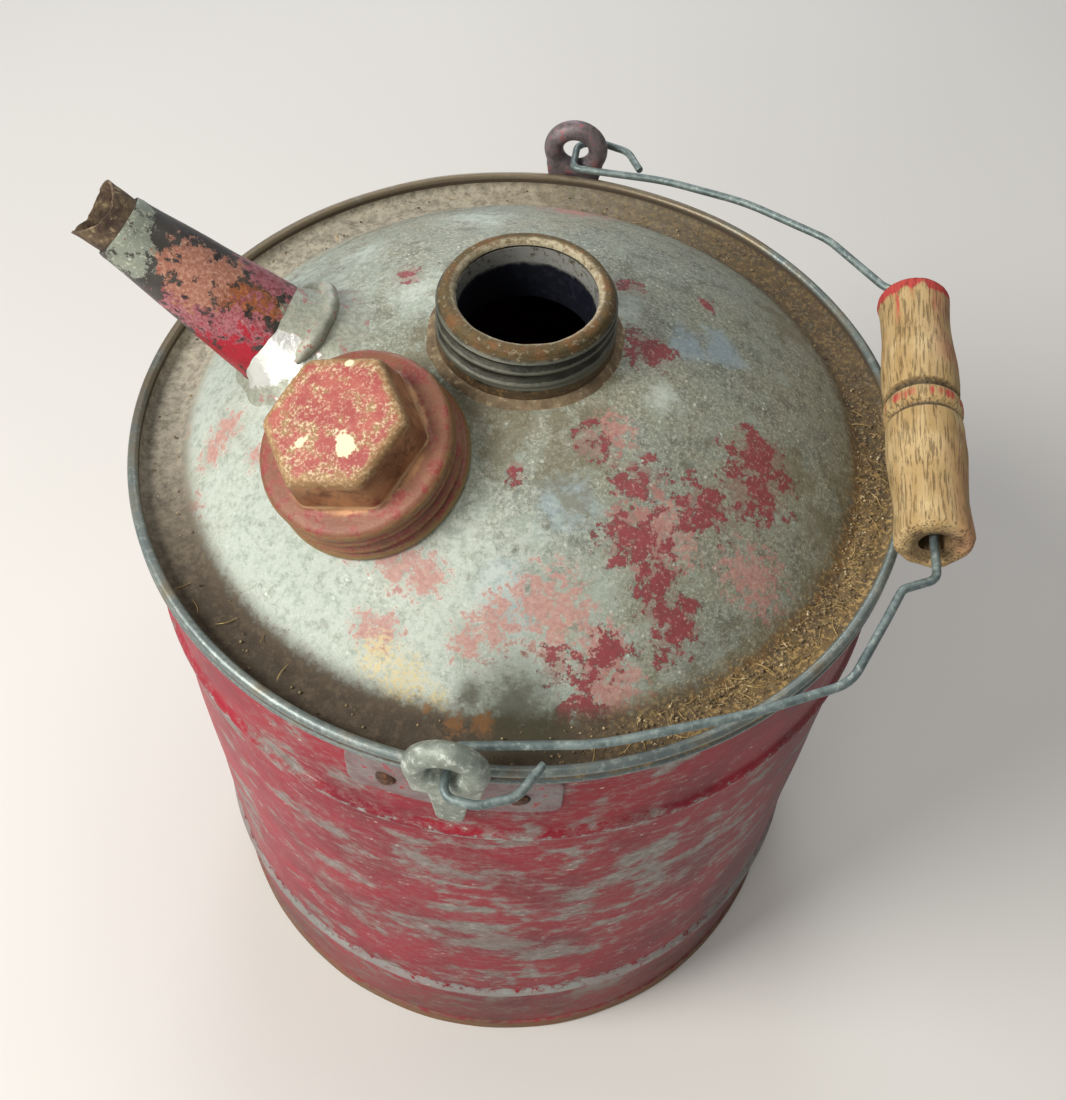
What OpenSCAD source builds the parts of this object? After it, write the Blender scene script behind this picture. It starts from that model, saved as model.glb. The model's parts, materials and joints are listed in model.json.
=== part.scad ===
// Five gallon round metal can with a domed top, filler neck, fixed spout, loose screw cap
// and a wire bail with a turned wooden grip. Millimetres, +Z up, origin at the centre of the
// base. The bail ears are on -Y (front) and +Y (rear), the spout points to -X and up, and the
// bail is folded down over the rim to +X.

/* [Can body] */
// Outer radius of the body shell
body_r = 142.6; // [135:0.1:150]
// Height of the top of the rolled rim above the floor
rim_z = 293.6; // [285:0.1:300]
// Thickness of all the sheet metal
sheet = 0.7; // [0.6:0.1:1]
// How far the swaged beads stand out of the shell
bead_out = 2; // [1:0.5:3]
// Width of a swaged bead, up the shell
bead_w = 9; // [7:1:12]
// Height of the lower bead above the floor
low_bead_z = 56; // [40:1:80]
// Height of the upper bead above the floor
high_bead_z = 240; // [225:1:246]
// How far the rolled rim stands out of the shell
rim_out = 2.4; // [1.8:0.1:3]

/* [Domed top] */
// Radius of the dome's sphere
dome_r = 178.7; // [170:0.1:190]
// Height of the dome's highest point
dome_top_z = 341; // [335:0.5:346]
// Depth of the gutter below the rim
gutter_depth = 6.5; // [5:0.1:9]
// Radius of the fold between dome and gutter
gutter_fold = 6; // [4:0.5:8]

/* [Filler neck] */
// Height of the top of the neck's lip
neck_top_z = 360; // [355:0.5:365]
// Radius of the filler's clear mouth
mouth_r = 23.8; // [20:0.1:24]
// Outer radius of the neck's plain collar
neck_r = 31.2; // [30:0.1:31.4]
// Pitch of the rolled thread rounds on neck and cap
thread_pitch = 5.6; // [5:0.1:6]

/* [Spout] */
// Angle of the spout above horizontal
spout_tilt = 41; // [35:1:50]
// Distance from the can's axis to where the spout's axis meets the dome
spout_foot_x = 87.2; // [80:0.1:95]
// Length of the outer spout tube along its axis, from the dome
spout_len = 69.4; // [60:0.1:75]
// Outer radius of the spout tube at the dome
spout_foot_r = 19.6; // [18:0.1:20]
// Outer radius of the spout tube at its far end
spout_end_r = 11.5; // [11:0.1:13]
// How far the torn inner tube sticks out of the spout tube
stub_out = 11; // [8:0.5:14]

/* [Screw cap] */
// Lean of the cap's axis where it lies on the dome
cap_lean = 23; // [22:0.5:24]
// Direction that the cap leans towards, about the can's axis
cap_heading = -128.4; // [-140:0.1:-120]
// Outer radius of the cap's skirt
cap_r = 34.6; // [34:0.1:35]
// Height of the cap from skirt edge to hexagon top
cap_h = 35.5; // [32:0.5:38]
// Distance across the corners of the cap's hexagon
hex_corners = 51; // [48:1:53]

/* [Ears] */
// Height of the bail's pivot above the floor
pivot_z = 300; // [299.5:0.5:301]
// Distance from the can's axis to the middle of an ear's ring
ear_y = 149.6; // [149.5:0.1:151]
// Radius of the hole through an ear
ear_hole_r = 5.5; // [5:0.5:6]
// Thickness of the round bar that forms an ear's ring
ear_bar = 8.4; // [8:0.1:8.6]
// Height of an ear's ring centre above the floor
ear_ring_z = 303; // [302:0.5:304]
// Height of a riveted strap
strap_h = 22; // [18:1:24]
// Angle that a strap covers around the body
strap_span = 29; // [24:1:32]
// Angle from an ear to each of its two rivets
rivet_step = 8.8; // [8:0.1:10]

/* [Bail and grip] */
// Diameter of the bail wire
wire_d = 3.1; // [2.6:0.1:3.4]
// Angle of the folded bail above horizontal
bail_rest = 3.25; // [3:0.05:4]
// Distance from the pivot to the middle of the grip
grip_reach = 146; // [145:0.5:148]
// How far the grip has slid towards the rear ear
grip_slide = 16; // [14:0.5:17]
// Skew of the grip and the wire inside it, seen from above
grip_skew = 2.4; // [0:0.1:3]
// Length of the wooden grip
grip_len = 120; // [114:1:121]
// Diameter of the grip's swellings
grip_d = 28.4; // [26:0.1:28.6]
// Diameter of the grip's waists
waist_d = 25.8; // [23:0.1:27]
// Diameter of the hole through the grip
grip_bore = 8.6; // [5:0.1:10]

/* [Hidden] */

$fn = 96;
slip = 0.02;                                   // gap that keeps touching round parts apart
body_in = body_r - sheet;
rim_r = body_r + rim_out;
rim_in = body_r - 2 * sheet;
rim_round = (rim_r - rim_in) / 2;              // radius of the rim's rounded top
rim_low_z = rim_z - 8;                         // lower edge of the rim's outer lap
upstand_z = rim_z - 3.8;                       // top of the two sheet edges inside the rim
wall_low_z = 3;                                // lower edge of the body's wall, inside the hoop
flange = 0.9;                                  // width of the pan's flange and the hoop's inner lip
seam_heading = 135;                            // direction of the side seam from the can's axis
hoop_h = 9;
pan_z = 6;
dome_c = dome_top_z - dome_r;                  // height of the dome sphere's centre
gutter_z = rim_z - gutter_depth;
fold_z = gutter_z + gutter_fold;
fold_x = sqrt(pow(dome_r + gutter_fold, 2) - pow(fold_z - dome_c, 2));
fold_angle = atan2(fold_x, fold_z - dome_c);   // from vertical, where dome meets fold
wall_fold = 2.5;                               // inner radius of the fold at the gutter's wall
neck_hole_r = neck_r - sheet;
collar_z = 344;                                // top of the neck's plain collar
collar_low_z = 338.6;
neck_low_z = dome_top_z - 8;                   // lower edge of the neck, under the dome
sleeve_low_z = 334;                            // lower edge of the neck's inner sleeve
sleeve_top_z = neck_top_z - 3.4;
spout_slope = (spout_foot_r - spout_end_r) / spout_len;
spout_foot_z = dome_c + sqrt(dome_r * dome_r - spout_foot_x * spout_foot_x);
spout_lean = asin(spout_foot_x / dome_r);      // lean of the dome under the spout
spout_low = -14;                               // start of the spout's cone along its axis, in the dome
spout_hole_r = spout_foot_r - 4.6;             // hole in the dome under the spout
foot_ring_r = 24.6;                            // radius of the collar round the spout's foot
foot_ring_bar = 3.4;                           // radius of that collar's half-round section
hex_turn = 9;                                  // turn of the cap's hexagon about its axis
cap_shoulder_h = 18.6;                         // height of the cap's round shoulder
cap_seat = sqrt(dome_r * dome_r - cap_r * cap_r); // sphere centre to skirt edge plane
cap_gap = 0.35;                                // the cap is a separate body, just off the dome
ear_ring_r = ear_hole_r + ear_bar / 2;
ear_face_y = ear_y - ear_bar / 2;
strap_r = body_r + 1.6;
strap_z = rim_low_z - 0.4 - strap_h;
rivet_z = strap_z + strap_h / 2;
shank_r = 2;

// ---------- shared outlines ----------

// Points on a circle from angle a to angle b, measured from vertical, in n steps
function bow(cx, cz, r, a, b, n) =
    [for (i = [0:n]) let (t = a + (b - a) * i / n) [cx + r * sin(t), cz + r * cos(t)]];

// One swaged bead at height z: how far it stands out, as points up the wall of radius r
function bead(z, r, n = 8) =
    let (rho = (bead_w * bead_w / 4 + bead_out * bead_out) / (2 * bead_out))
    [for (i = [0:n]) let (d = bead_w * (i / n - 0.5))
        [r + bead_out - rho + sqrt(rho * rho - d * d), z + d]];

// Wall line of the shell at radius r, with its two beads, from z0 up to z1
function wall_line(r, z0, z1) =
    concat([[r, z0]], bead(low_bead_z, r), bead(high_bead_z, r), [[r, z1]]);

function reversed(p) = [for (i = [len(p) - 1:-1:0]) p[i]];

// Section of the top sheet on its upper side (lift = 0) or its under side (lift = sheet)
function top_line(lift) = concat(
    bow(0, dome_c, dome_r - lift, asin(neck_hole_r / (dome_r - lift)), fold_angle, 28),
    bow(fold_x, fold_z, gutter_fold + lift, fold_angle + 180, 180, 6),
    bow(rim_in - wall_fold, gutter_z + wall_fold, wall_fold + lift, 180, 90, 5)
);

// Dome sphere, to cut feet to the top's curve
module dome_ball(grow = 0) {
    translate([0, 0, dome_c]) sphere(r = dome_r + grow, $fn = 128);
}

// ---------- body ----------

module body_shell() {
    color("firebrick")
    difference() {
        rotate_extrude(convexity = 6)
            polygon(concat(
                wall_line(body_r, wall_low_z, upstand_z),
                reversed(wall_line(body_in, wall_low_z, upstand_z))
            ));
        rivet_holes();
    }
}

// Four holes through wall and straps, one for each rivet's shank
module rivet_holes() {
    for (side = [-90, 90], step = [-rivet_step, rivet_step])
        rotate([0, 0, side + step]) translate([body_r - 5, 0, rivet_z])
            rotate([0, 90, 0]) cylinder(r = shank_r, h = 10, $fn = 32);
}

module side_seam() {
    seam_w = 7;
    color("darkred")
    rotate([0, 0, seam_heading])
        rotate_extrude(angle = seam_w / body_r * 180 / PI, convexity = 6)
            polygon(concat(
                wall_line(body_r + slip, hoop_h + 1, rim_low_z - 1),
                reversed(wall_line(body_r + sheet, hoop_h + 1, rim_low_z - 1))
            ));
}

// Recessed bottom with a shallow stiffening step and a flange that stands in the hoop
module bottom_pan() {
    color("silver")
    rotate_extrude()
        polygon([
            [0, pan_z + 2.4], [112, pan_z + 2.4], [118, pan_z + 0.9], [body_in - 4, pan_z + 0.9],
            [body_in - flange, pan_z - 1.6], [body_in - flange, wall_low_z], [body_in, wall_low_z],
            [body_in, pan_z - 1], [body_in - 3.4, pan_z + 1.8], [119, pan_z + 1.8],
            [113, pan_z + 3.3], [0, pan_z + 3.3]
        ]);
}

// Folded hoop under the wall: the can stands on its flat lower edge
module bottom_hoop() {
    color("rosybrown")
    rotate_extrude()
        polygon([
            [body_in - flange, wall_low_z], [body_in - flange, 1], [body_in, 0], [body_r + 0.6, 0],
            [body_r + 1.5, 1.2], [body_r + 1.4, hoop_h - 0.8], [body_r, hoop_h], [body_r, wall_low_z]
        ]);
}

// ---------- top ----------

module domed_top() {
    color("lightslategray")
    difference() {
        rotate_extrude(convexity = 6)
            polygon(concat(
                top_line(0), [[rim_in, upstand_z], [rim_in + sheet, upstand_z]],
                reversed(top_line(sheet))
            ));
        spout_frame() translate([0, 0, -30])
            cylinder(r = spout_hole_r, h = 60);
    }
}

// Rolled rim: a rounded bead over the two upstanding edges, with a lap down the outside
module rolled_rim() {
    color("slategray")
    rotate_extrude()
        polygon(concat(
            [[rim_in, upstand_z]],
            bow(rim_r - rim_round, rim_z - rim_round, rim_round, -90, 90, 12),
            [[rim_r, rim_low_z + 1], [rim_r - 0.8, rim_low_z], [body_r + slip, rim_low_z],
             [body_r + slip, upstand_z]]
        ));
}

// ---------- filler neck ----------

// Stamped neck: foot in the dome's hole, plain collar, two rolled thread rounds, turned-in lip
module filler_neck() {
    function side(inset) = concat(
        [[neck_r - inset, collar_low_z + 0.4], [neck_r - inset, collar_z]],
        [for (k = [0:1]) each thread_round(collar_z + 0.8 + thread_pitch * k, neck_r - inset, 1.6)],
        [[neck_r - inset - 1.9, sleeve_top_z]]
    );
    lip = neck_r - 1.9;
    color("sienna")
    rotate_extrude(convexity = 6)
        polygon(concat(
            [[neck_hole_r - slip, neck_low_z], [neck_hole_r - slip, collar_low_z + 0.4]],
            side(0),
            bow(lip - 2.6, neck_top_z - 2.6, 2.6, 82, 0, 6),
            [[mouth_r + 0.2 + sheet, neck_top_z - 0.9], [mouth_r + slip + sheet, neck_top_z - 2.2],
             [lip - 1.6, neck_top_z - 2.6]],
            reversed(side(sheet)),
            [[neck_hole_r - 2 * sheet, collar_low_z], [neck_hole_r - 2 * sheet, neck_low_z]]
        ));
}

// One rolled thread round that starts at height z, as points up a wall of radius r
function thread_round(z, r, deep, n = 6) =
    [for (i = [0:n]) let (a = 180 * i / n)
        [r - deep + (deep + 0.1) * sin(a), z + thread_pitch * 0.9 * i / n]];

// Straight inner tube that the fuel runs down
module neck_sleeve() {
    color("gray")
    difference() {
        translate([0, 0, sleeve_low_z]) cylinder(r = mouth_r + sheet, h = sleeve_top_z - sleeve_low_z);
        translate([0, 0, sleeve_low_z - 1]) cylinder(r = mouth_r, h = neck_top_z - sleeve_low_z);
    }
}

// Bead of solder between dome and neck
module neck_solder() {
    function dome_z(r) = dome_c + sqrt(dome_r * dome_r - r * r);
    color("tan")
    rotate_extrude()
        polygon([
            [neck_hole_r, dome_z(neck_hole_r) + slip], [neck_r + 3.2, dome_z(neck_r + 3.2) + slip],
            [neck_r + 2, dome_z(neck_r) + 0.5], [neck_r + 0.7, collar_low_z + 0.3],
            [neck_hole_r, collar_low_z + 0.3]
        ]);
}

// ---------- spout ----------

// Frame with its origin where the spout's axis meets the dome, and +Z out along the spout
module spout_frame() {
    translate([-spout_foot_x, 0, spout_foot_z]) rotate([0, spout_tilt - 90, 0]) children();
}

// Tapered solid around the spout's axis, from s0 to s1 along it, grown by g
module spout_cone(s0, s1, g = 0) {
    translate([0, 0, s0])
        cylinder(r1 = spout_foot_r - spout_slope * s0 + g, r2 = spout_foot_r - spout_slope * s1 + g,
            h = s1 - s0);
}

module spout_tube() {
    // Outer radius of the tube at s along its axis, moved in by inset
    function tube_r(s, inset = 0) = spout_foot_r - spout_slope * s - inset;
    color("dimgray")
    difference() {
        spout_frame() rotate_extrude()
            polygon([
                [tube_r(spout_low, sheet), spout_low], [tube_r(spout_low), spout_low],
                [tube_r(spout_len), spout_len],
                [tube_r(spout_len, sheet), spout_len]
            ]);
        dome_ball(slip);
    }
}

// Inner tube that sticks out of the spout, with its outer end torn off
module spout_stub() {
    stub_r = spout_end_r - sheet - 0.1;
    stub_low = spout_len - 9;
    torn_z = spout_len + stub_out;
    color("saddlebrown")
    spout_frame()
    difference() {
        translate([0, 0, stub_low]) cylinder(r = stub_r, h = torn_z - stub_low, $fn = 64);
        translate([0, 0, stub_low - 1]) cylinder(r = stub_r - 1.1, h = torn_z, $fn = 64);
        for (i = [0:8])
            let (notch = 3.4 + sin(i * 71))
                rotate([0, 0, i * 40]) translate([0, 0, torn_z + 1.4 * sin(i * 137)])
                    rotate([0, 45, 90]) cube([notch, notch, 2 * stub_r + 2], center = true);
    }
}

// Half-round collar pressed up around the near side of the spout's foot
module spout_collar() {
    color("gray")
    difference() {
        translate([-spout_foot_x, 0, spout_foot_z]) rotate([0, -spout_lean, 0])
            rotate([0, 0, -70]) rotate_extrude(angle = 170)
                translate([foot_ring_r, 0]) circle(r = foot_ring_bar, $fn = 32);
        dome_ball(slip);
        spout_frame() spout_cone(spout_low, 30, 2 * slip);
    }
}

// Fillet of solder around the spout's foot, inside the collar and open to the far side
module spout_solder() {
    color("gainsboro")
    difference() {
        spout_frame()
            translate([0, 0, -9]) cylinder(r1 = spout_foot_r + 4.4, r2 = spout_foot_r - 1.4, h = 15);
        dome_ball(2 * slip);
        spout_frame() spout_cone(spout_low, 30, 2 * slip);
        translate([-spout_foot_x, 0, spout_foot_z]) rotate([0, -spout_lean, 0])
            rotate_extrude() translate([foot_ring_r, 0]) circle(r = foot_ring_bar + 0.1, $fn = 32);
    }
}

// ---------- ears ----------

// Cast ear on the -Y side: a round ring for the wire, on a tongue that tapers down the strap
module ear() {
    tongue_z = ear_ring_z - 47;
    difference() {
        union() {
            translate([0, -ear_y, ear_ring_z]) rotate([90, 0, 0])
                rotate_extrude() translate([ear_ring_r, 0]) circle(r = ear_bar / 2, $fn = 40);
            intersection() {
                // outline seen from the front: shoulders, waist and rounded tip
                translate([0, -ear_y + 20, ear_ring_z]) rotate([90, 0, 0])
                    linear_extrude(40) union() {
                        polygon([[-12.4, -6], [-10.6, -15.5], [-7, -24], [-5, -40],
                            [5, -40], [7, -24], [10.6, -15.5], [12.4, -6], [6, -9.4], [-6, -9.4]]);
                        translate([0, -40]) circle(r = 5, $fn = 40);
                    }
                // profile seen from the side: flat on the strap, stepped out past the rim
                rotate([90, 0, 90]) translate([0, 0, -20])
                    linear_extrude(40)
                        polygon([
                            [-strap_r - 0.1, tongue_z - 2], [-strap_r - 2, tongue_z - 2],
                            [-strap_r - 3.4, tongue_z + 4], [-strap_r - 3.8, rim_low_z - 6],
                            [-ear_y - 2.6, rim_low_z + 4], [-ear_y - 2.6, ear_ring_z],
                            [-ear_face_y - 0.9, ear_ring_z], [-ear_face_y, rim_low_z + 1],
                            [-ear_face_y, rim_low_z - 0.6], [-strap_r - 0.1, rim_low_z - 1.6]
                        ]);
            }
        }
        translate([0, -ear_y + 20, ear_ring_z]) rotate([90, 0, 0])
            cylinder(r = ear_hole_r - 0.2, h = 40, $fn = 48);
    }
}

// Rounded sheet strap under the ear, bent to the shell, with its two rivet holes
module strap() {
    half_w = (body_r + 1) * sin(strap_span / 2);
    corner = 4;
    difference() {
        intersection() {
            translate([0, 0, strap_z]) difference() {
                cylinder(r = strap_r, h = strap_h);
                translate([0, 0, -1]) cylinder(r = body_r + slip, h = strap_h + 2);
            }
            translate([0, -body_r + 20, strap_z]) rotate([90, 0, 0]) linear_extrude(40) union() {
                translate([-half_w, corner]) square([2 * half_w, strap_h - 2 * corner]);
                translate([-half_w + corner, 0]) square([2 * (half_w - corner), strap_h]);
                for (x = [-half_w + corner, half_w - corner], z = [corner, strap_h - corner])
                    translate([x, z]) circle(r = corner, $fn = 32);
            }
        }
        rivet_holes();
    }
}

// Button-headed rivet through strap and shell, at angle a about the can's axis
module rivet(a) {
    color("brown")
    rotate([0, 0, a]) translate([0, 0, rivet_z]) rotate([0, 90, 0])
        rotate_extrude($fn = 40)
            polygon(concat(
                [[0, body_in - 1.3], [3.2, body_in - 0.9], [3.2, body_in - 0.2],
                 [shank_r - slip, body_in - 0.2], [shank_r - slip, strap_r + slip]],
                [for (t = [0:15:90]) [3.7 * cos(t), strap_r + slip + 1.7 * sin(t)]]
            ));
}

module front_ear() { color("darkgray") ear(); }
module rear_ear() { color("darkgray") mirror([0, 1, 0]) ear(); }
module front_strap() { color("rosybrown") strap(); }
module rear_strap() { color("rosybrown") mirror([0, 1, 0]) strap(); }
module front_rivet_left() { rivet(-90 - rivet_step); }
module front_rivet_right() { rivet(-90 + rivet_step); }
module rear_rivet_left() { rivet(90 + rivet_step); }
module rear_rivet_right() { rivet(90 - rivet_step); }

// ---------- bail ----------

// Frame of the bail: origin on the pivot, x out along the folded bail, y to the rear ear
module bail_frame() {
    translate([0, 0, pivot_z]) rotate([0, -bail_rest, 0]) children();
}

// Distance out to the wire's straight middle at y
function mid_x(y) = grip_reach - (y - grip_slide) * tan(grip_skew);

hook = [[29, 142.5, 0], [22.5, 154.5, 9], [11, 158.8, 7], [0, 157.6, 5], [0, 140.4, 4]];
// Bends of the wire in the bail's plane: x, y and inside radius, from front hook to rear hook
wire_bends = concat(
    [for (p = hook) [p[0], -p[1], p[2]]],
    [[45, -133.5, 90], [90, -116.5, 90], [121, -101, 16], [132, -76, 30], [137.6, -62.6, 5],
     [mid_x(-57), -57, 5], [mid_x(80), 80, 4],
     [133, 82, 10], [110, 108, 30], [75, 127, 80], [40, 137, 90]],
    [for (p = reversed(hook)) [p[0], p[1], p[2]]]
);

// Points of the rounded wire line: each inner bend is an arc, its ends stay put
function unit(v) = v / norm(v);
function bent(p, steps = 5) = [
    for (i = [0:len(p) - 1])
        let (here = [p[i][0], p[i][1]])
        if (i == 0 || i == len(p) - 1) here
        else
            let (
                back = unit([p[i - 1][0], p[i - 1][1]] - here),
                on = unit([p[i + 1][0], p[i + 1][1]] - here),
                half = acos(min(1, max(-1, back * on))) / 2,
                centre = here + unit(back + on) * p[i][2] / sin(half),
                a0 = -back * p[i][2] / tan(half) + centre - here,
                a1 = -on * p[i][2] / tan(half) + centre - here
            )
            each [for (k = [0:steps]) centre - unit(a0 * (1 - k / steps) + a1 * k / steps) * p[i][2]]
];

// Round wire of radius r along flat points p
module wire_along(p, r, sides = 12) {
    n = len(p);
    function run(i) = unit(p[min(i + 1, n - 1)] - p[max(i - 1, 0)]);
    rings = [
        for (i = [0:n - 1], k = [0:sides - 1])
            let (t = run(i), a = 360 * k / sides)
            [p[i][0] - t[1] * r * cos(a), p[i][1] + t[0] * r * cos(a), r * sin(a)]
    ];
    walls = [
        for (i = [0:n - 2], k = [0:sides - 1])
            let (a = i * sides + k, b = i * sides + (k + 1) % sides)
            [a, a + sides, b + sides, b]
    ];
    polyhedron(rings, concat(walls, [
        [for (k = [0:sides - 1]) k],
        [for (k = [sides - 1:-1:0]) (n - 1) * sides + k]
    ]), convexity = 8);
}

module bail_wire() {
    color("lightsteelblue") bail_frame() wire_along(bent(wire_bends), wire_d / 2);
}

// Turned grip: two waisted halves either side of a raised ring, bored through and dished
module grip() {
    big = grip_d / 2;
    thin = waist_d / 2;
    half = grip_len / 2;
    // Radius of one half, from the groove (f = 0) to the end (f = 1)
    function side_r(f) = (big + thin) / 2 + (big - thin) / 2 * cos(360 * (f * 1.06 - 0.2));
    steps = 22;
    ring_w = 4;
    groove_w = 3;
    outer = concat(
        [[big - 0.9, ring_w - 1.2], [big - 1.5, ring_w], [thin - 0.8, ring_w + groove_w / 2]],
        [for (i = [0:steps]) let (f = i / steps)
            [side_r(f) - (f > 0.95 ? 1.1 : 0), ring_w + groove_w + f * (half - ring_w - groove_w)]]
    );
    dish = [[big - 4, half], [grip_bore / 2, half - 2.2]];
    half_line = concat([[big + 0.1, 0]], outer, dish);
    color("burlywood")
    bail_frame() translate([grip_reach, grip_slide, 0])
        rotate([0, 0, grip_skew]) rotate([-90, 0, 0])
            rotate_extrude(convexity = 6)
                polygon(concat(
                    half_line,
                    [for (p = reversed(half_line)) if (p[1] > 0) [p[0], -p[1]]]
                ));
}

// ---------- screw cap ----------

// Frame of the loose cap: origin at the centre of its skirt's edge, +Z out of its top
module cap_frame() {
    translate([0, 0, dome_c]) rotate([0, cap_lean, cap_heading])
        translate([0, 0, cap_seat + cap_gap]) children();
}

// Hexagon with soft corners, half_d from its middle to a corner
module soft_hexagon(half_d) {
    offset(r = 3, $fn = 32) circle(r = half_d - 3.4, $fn = 6);
}

// Hexagonal boss, softened at its top edge
module hexagon_boss(half_d, z0, z1) {
    hull() {
        translate([0, 0, z0]) linear_extrude(1) soft_hexagon(half_d + 1.6);
        translate([0, 0, z1 - 2.6]) linear_extrude(1) soft_hexagon(half_d);
        translate([0, 0, z1 - 1]) linear_extrude(1) soft_hexagon(half_d - 1.4);
    }
}

module screw_cap() {
    wall = 1;
    // Skirt's side line, moved in by inset
    function skirt(inset) = concat(
        [[cap_r - 1.9 - inset, 2.6]],
        [for (k = [0:1]) each thread_round(3 + thread_pitch * k, cap_r - 0.5 - inset, 1.5)],
        [[cap_r - 1.8 - inset, 14.4]],
        bow(cap_r - 3.3 - inset, cap_shoulder_h - 2.4, 2.4, 110, 20, 5)
    );
    color("indianred")
    cap_frame() difference() {
        union() {
            rotate_extrude(convexity = 6)
                polygon(concat(
                    [[cap_r - 2.2, 0.6], [cap_r - 1.2, 0], [cap_r - 0.3, 0.4], [cap_r, 1.3],
                     [cap_r - 0.5, 2.3]],
                    skirt(0), [[0, cap_shoulder_h + 0.6], [0, cap_shoulder_h + 0.6 - wall]],
                    reversed(skirt(wall))
                ));
            rotate([0, 0, hex_turn]) hexagon_boss(hex_corners / 2, cap_shoulder_h - 0.6, cap_h);
        }
        rotate([0, 0, hex_turn]) hexagon_boss(hex_corners / 2 - 1.3, cap_shoulder_h - 3, cap_h - wall);
    }
}

// Ring of cork that seals the cap on the neck's lip
module cap_gasket() {
    color("peru")
    cap_frame() translate([0, 0, 15.4]) difference() {
        cylinder(r = 30.6, h = 1.8);
        translate([0, 0, -1]) cylinder(r = mouth_r + 1.5, h = 4);
    }
}

body_shell();
side_seam();
bottom_pan();
bottom_hoop();
domed_top();
rolled_rim();
filler_neck();
neck_sleeve();
neck_solder();
spout_tube();
spout_stub();
spout_collar();
spout_solder();
front_ear();
rear_ear();
front_strap();
rear_strap();
front_rivet_left();
front_rivet_right();
rear_rivet_left();
rear_rivet_right();
bail_wire();
grip();
screw_cap();
cap_gasket();
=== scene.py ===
"""A weathered round fuel can with its filler neck, spout, loose screw cap, wire bail and turned grip.

The can stands on Z = 0 with its axis on the origin. The bail's ears are on -Y (front) and +Y
(rear), the spout points to -X, and the bail is folded down over the rim to +X. Shapes are worked
out in millimetres and turned to metres when their mesh is made.
"""
import json
import math

import bmesh
import bpy
import numpy as np
from mathutils import Matrix, Vector, noise


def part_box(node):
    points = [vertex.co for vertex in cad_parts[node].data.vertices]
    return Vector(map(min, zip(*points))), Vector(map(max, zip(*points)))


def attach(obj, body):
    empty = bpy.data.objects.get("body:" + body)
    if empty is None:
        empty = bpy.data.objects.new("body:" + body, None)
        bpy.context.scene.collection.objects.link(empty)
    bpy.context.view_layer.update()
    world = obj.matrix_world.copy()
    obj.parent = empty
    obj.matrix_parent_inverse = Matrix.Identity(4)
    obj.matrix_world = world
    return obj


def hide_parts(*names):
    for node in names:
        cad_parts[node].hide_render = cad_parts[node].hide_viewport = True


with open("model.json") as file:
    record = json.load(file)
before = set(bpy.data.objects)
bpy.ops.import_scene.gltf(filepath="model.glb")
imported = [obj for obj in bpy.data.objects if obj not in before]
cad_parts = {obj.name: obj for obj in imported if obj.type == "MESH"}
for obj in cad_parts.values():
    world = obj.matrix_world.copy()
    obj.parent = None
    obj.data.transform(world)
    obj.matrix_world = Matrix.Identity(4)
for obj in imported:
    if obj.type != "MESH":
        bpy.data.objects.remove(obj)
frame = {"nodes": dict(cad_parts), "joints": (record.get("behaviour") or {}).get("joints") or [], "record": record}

bl_info = {
    "name": "Weathered fuel can",
    "version": (1, 0, 0),
    "blender": (4, 5, 0),
    "location": "View3D > Sidebar > Fuel can",
    "description": "Builds a worn fuel can with its spout, screw cap, wire bail and turned grip",
    "category": "Add Mesh",
}

MM = 0.001


# ---------- places and sizes from the frame, in millimetres ----------

def corner(node, high=True):
    """The highest (or lowest) corner of a CAD node in millimetres."""
    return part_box(node)[1 if high else 0] / MM


def joint(name):
    """One joint's row from the frame."""
    return next(row for row in frame["joints"] if row["name"] == name)


def mount(name):
    """One mount's row from the frame's record."""
    return next(row for row in frame["record"]["mounts"] if row["name"] == name)


def frame_at(origin, axis, towards=(1, 0, 0)):
    """A matrix whose Z is axis and whose X leans towards the given direction, in millimetres."""
    z = Vector(axis).normalized()
    x = (Vector(towards) - z * z.dot(Vector(towards))).normalized()
    turn = Matrix((x, z.cross(x), z)).transposed().to_4x4()
    return Matrix.Translation(Vector(origin)) @ turn


SHEET = 0.7
RIM_R = corner("rolled_rim").x
RIM_TOP = corner("rolled_rim").z
RIM_LOW = corner("rolled_rim", False).z
RIM_PROUD = 2.4
BODY_R = RIM_R - RIM_PROUD
BODY_IN = BODY_R - SHEET
RIM_IN = BODY_R - 2 * SHEET
UPSTAND_TOP = RIM_TOP - 3.8
LOW_BEAD_Z = 56
HIGH_BEAD_Z = 240
BEAD_W = 9
SEAM_ANGLE = 135
SEAM_WIDTH = 7
HOOP_TOP = corner("bottom_hoop").z
WALL_LOW = corner("body_shell", False).z

NECK_HOLE_R = 30.5
DOME_R = 178.7
DOME_HOLE_Z = corner("domed_top").z
DOME_C = DOME_HOLE_Z - math.sqrt(DOME_R ** 2 - NECK_HOLE_R ** 2)
GUTTER_Z = corner("domed_top", False).z + SHEET
GUTTER_FOLD = 6
FOLD_Z = GUTTER_Z + GUTTER_FOLD
FOLD_X = math.sqrt((DOME_R + GUTTER_FOLD) ** 2 - (FOLD_Z - DOME_C) ** 2)
FOLD_ANGLE = math.degrees(math.atan2(FOLD_X, FOLD_Z - DOME_C))
WALL_FOLD = 2.5

NECK_R = 31.2
NECK_TOP = corner("filler_neck").z
NECK_LOW = corner("filler_neck", False).z
COLLAR_LOW = 338.6
COLLAR_TOP = 344
THREAD_PITCH = 5.6
MOUTH_R = mount("filler_mouth")["dims"]["r_mm"]
SLEEVE_LOW = corner("neck_sleeve", False).z
SLEEVE_TOP = corner("neck_sleeve").z

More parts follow.
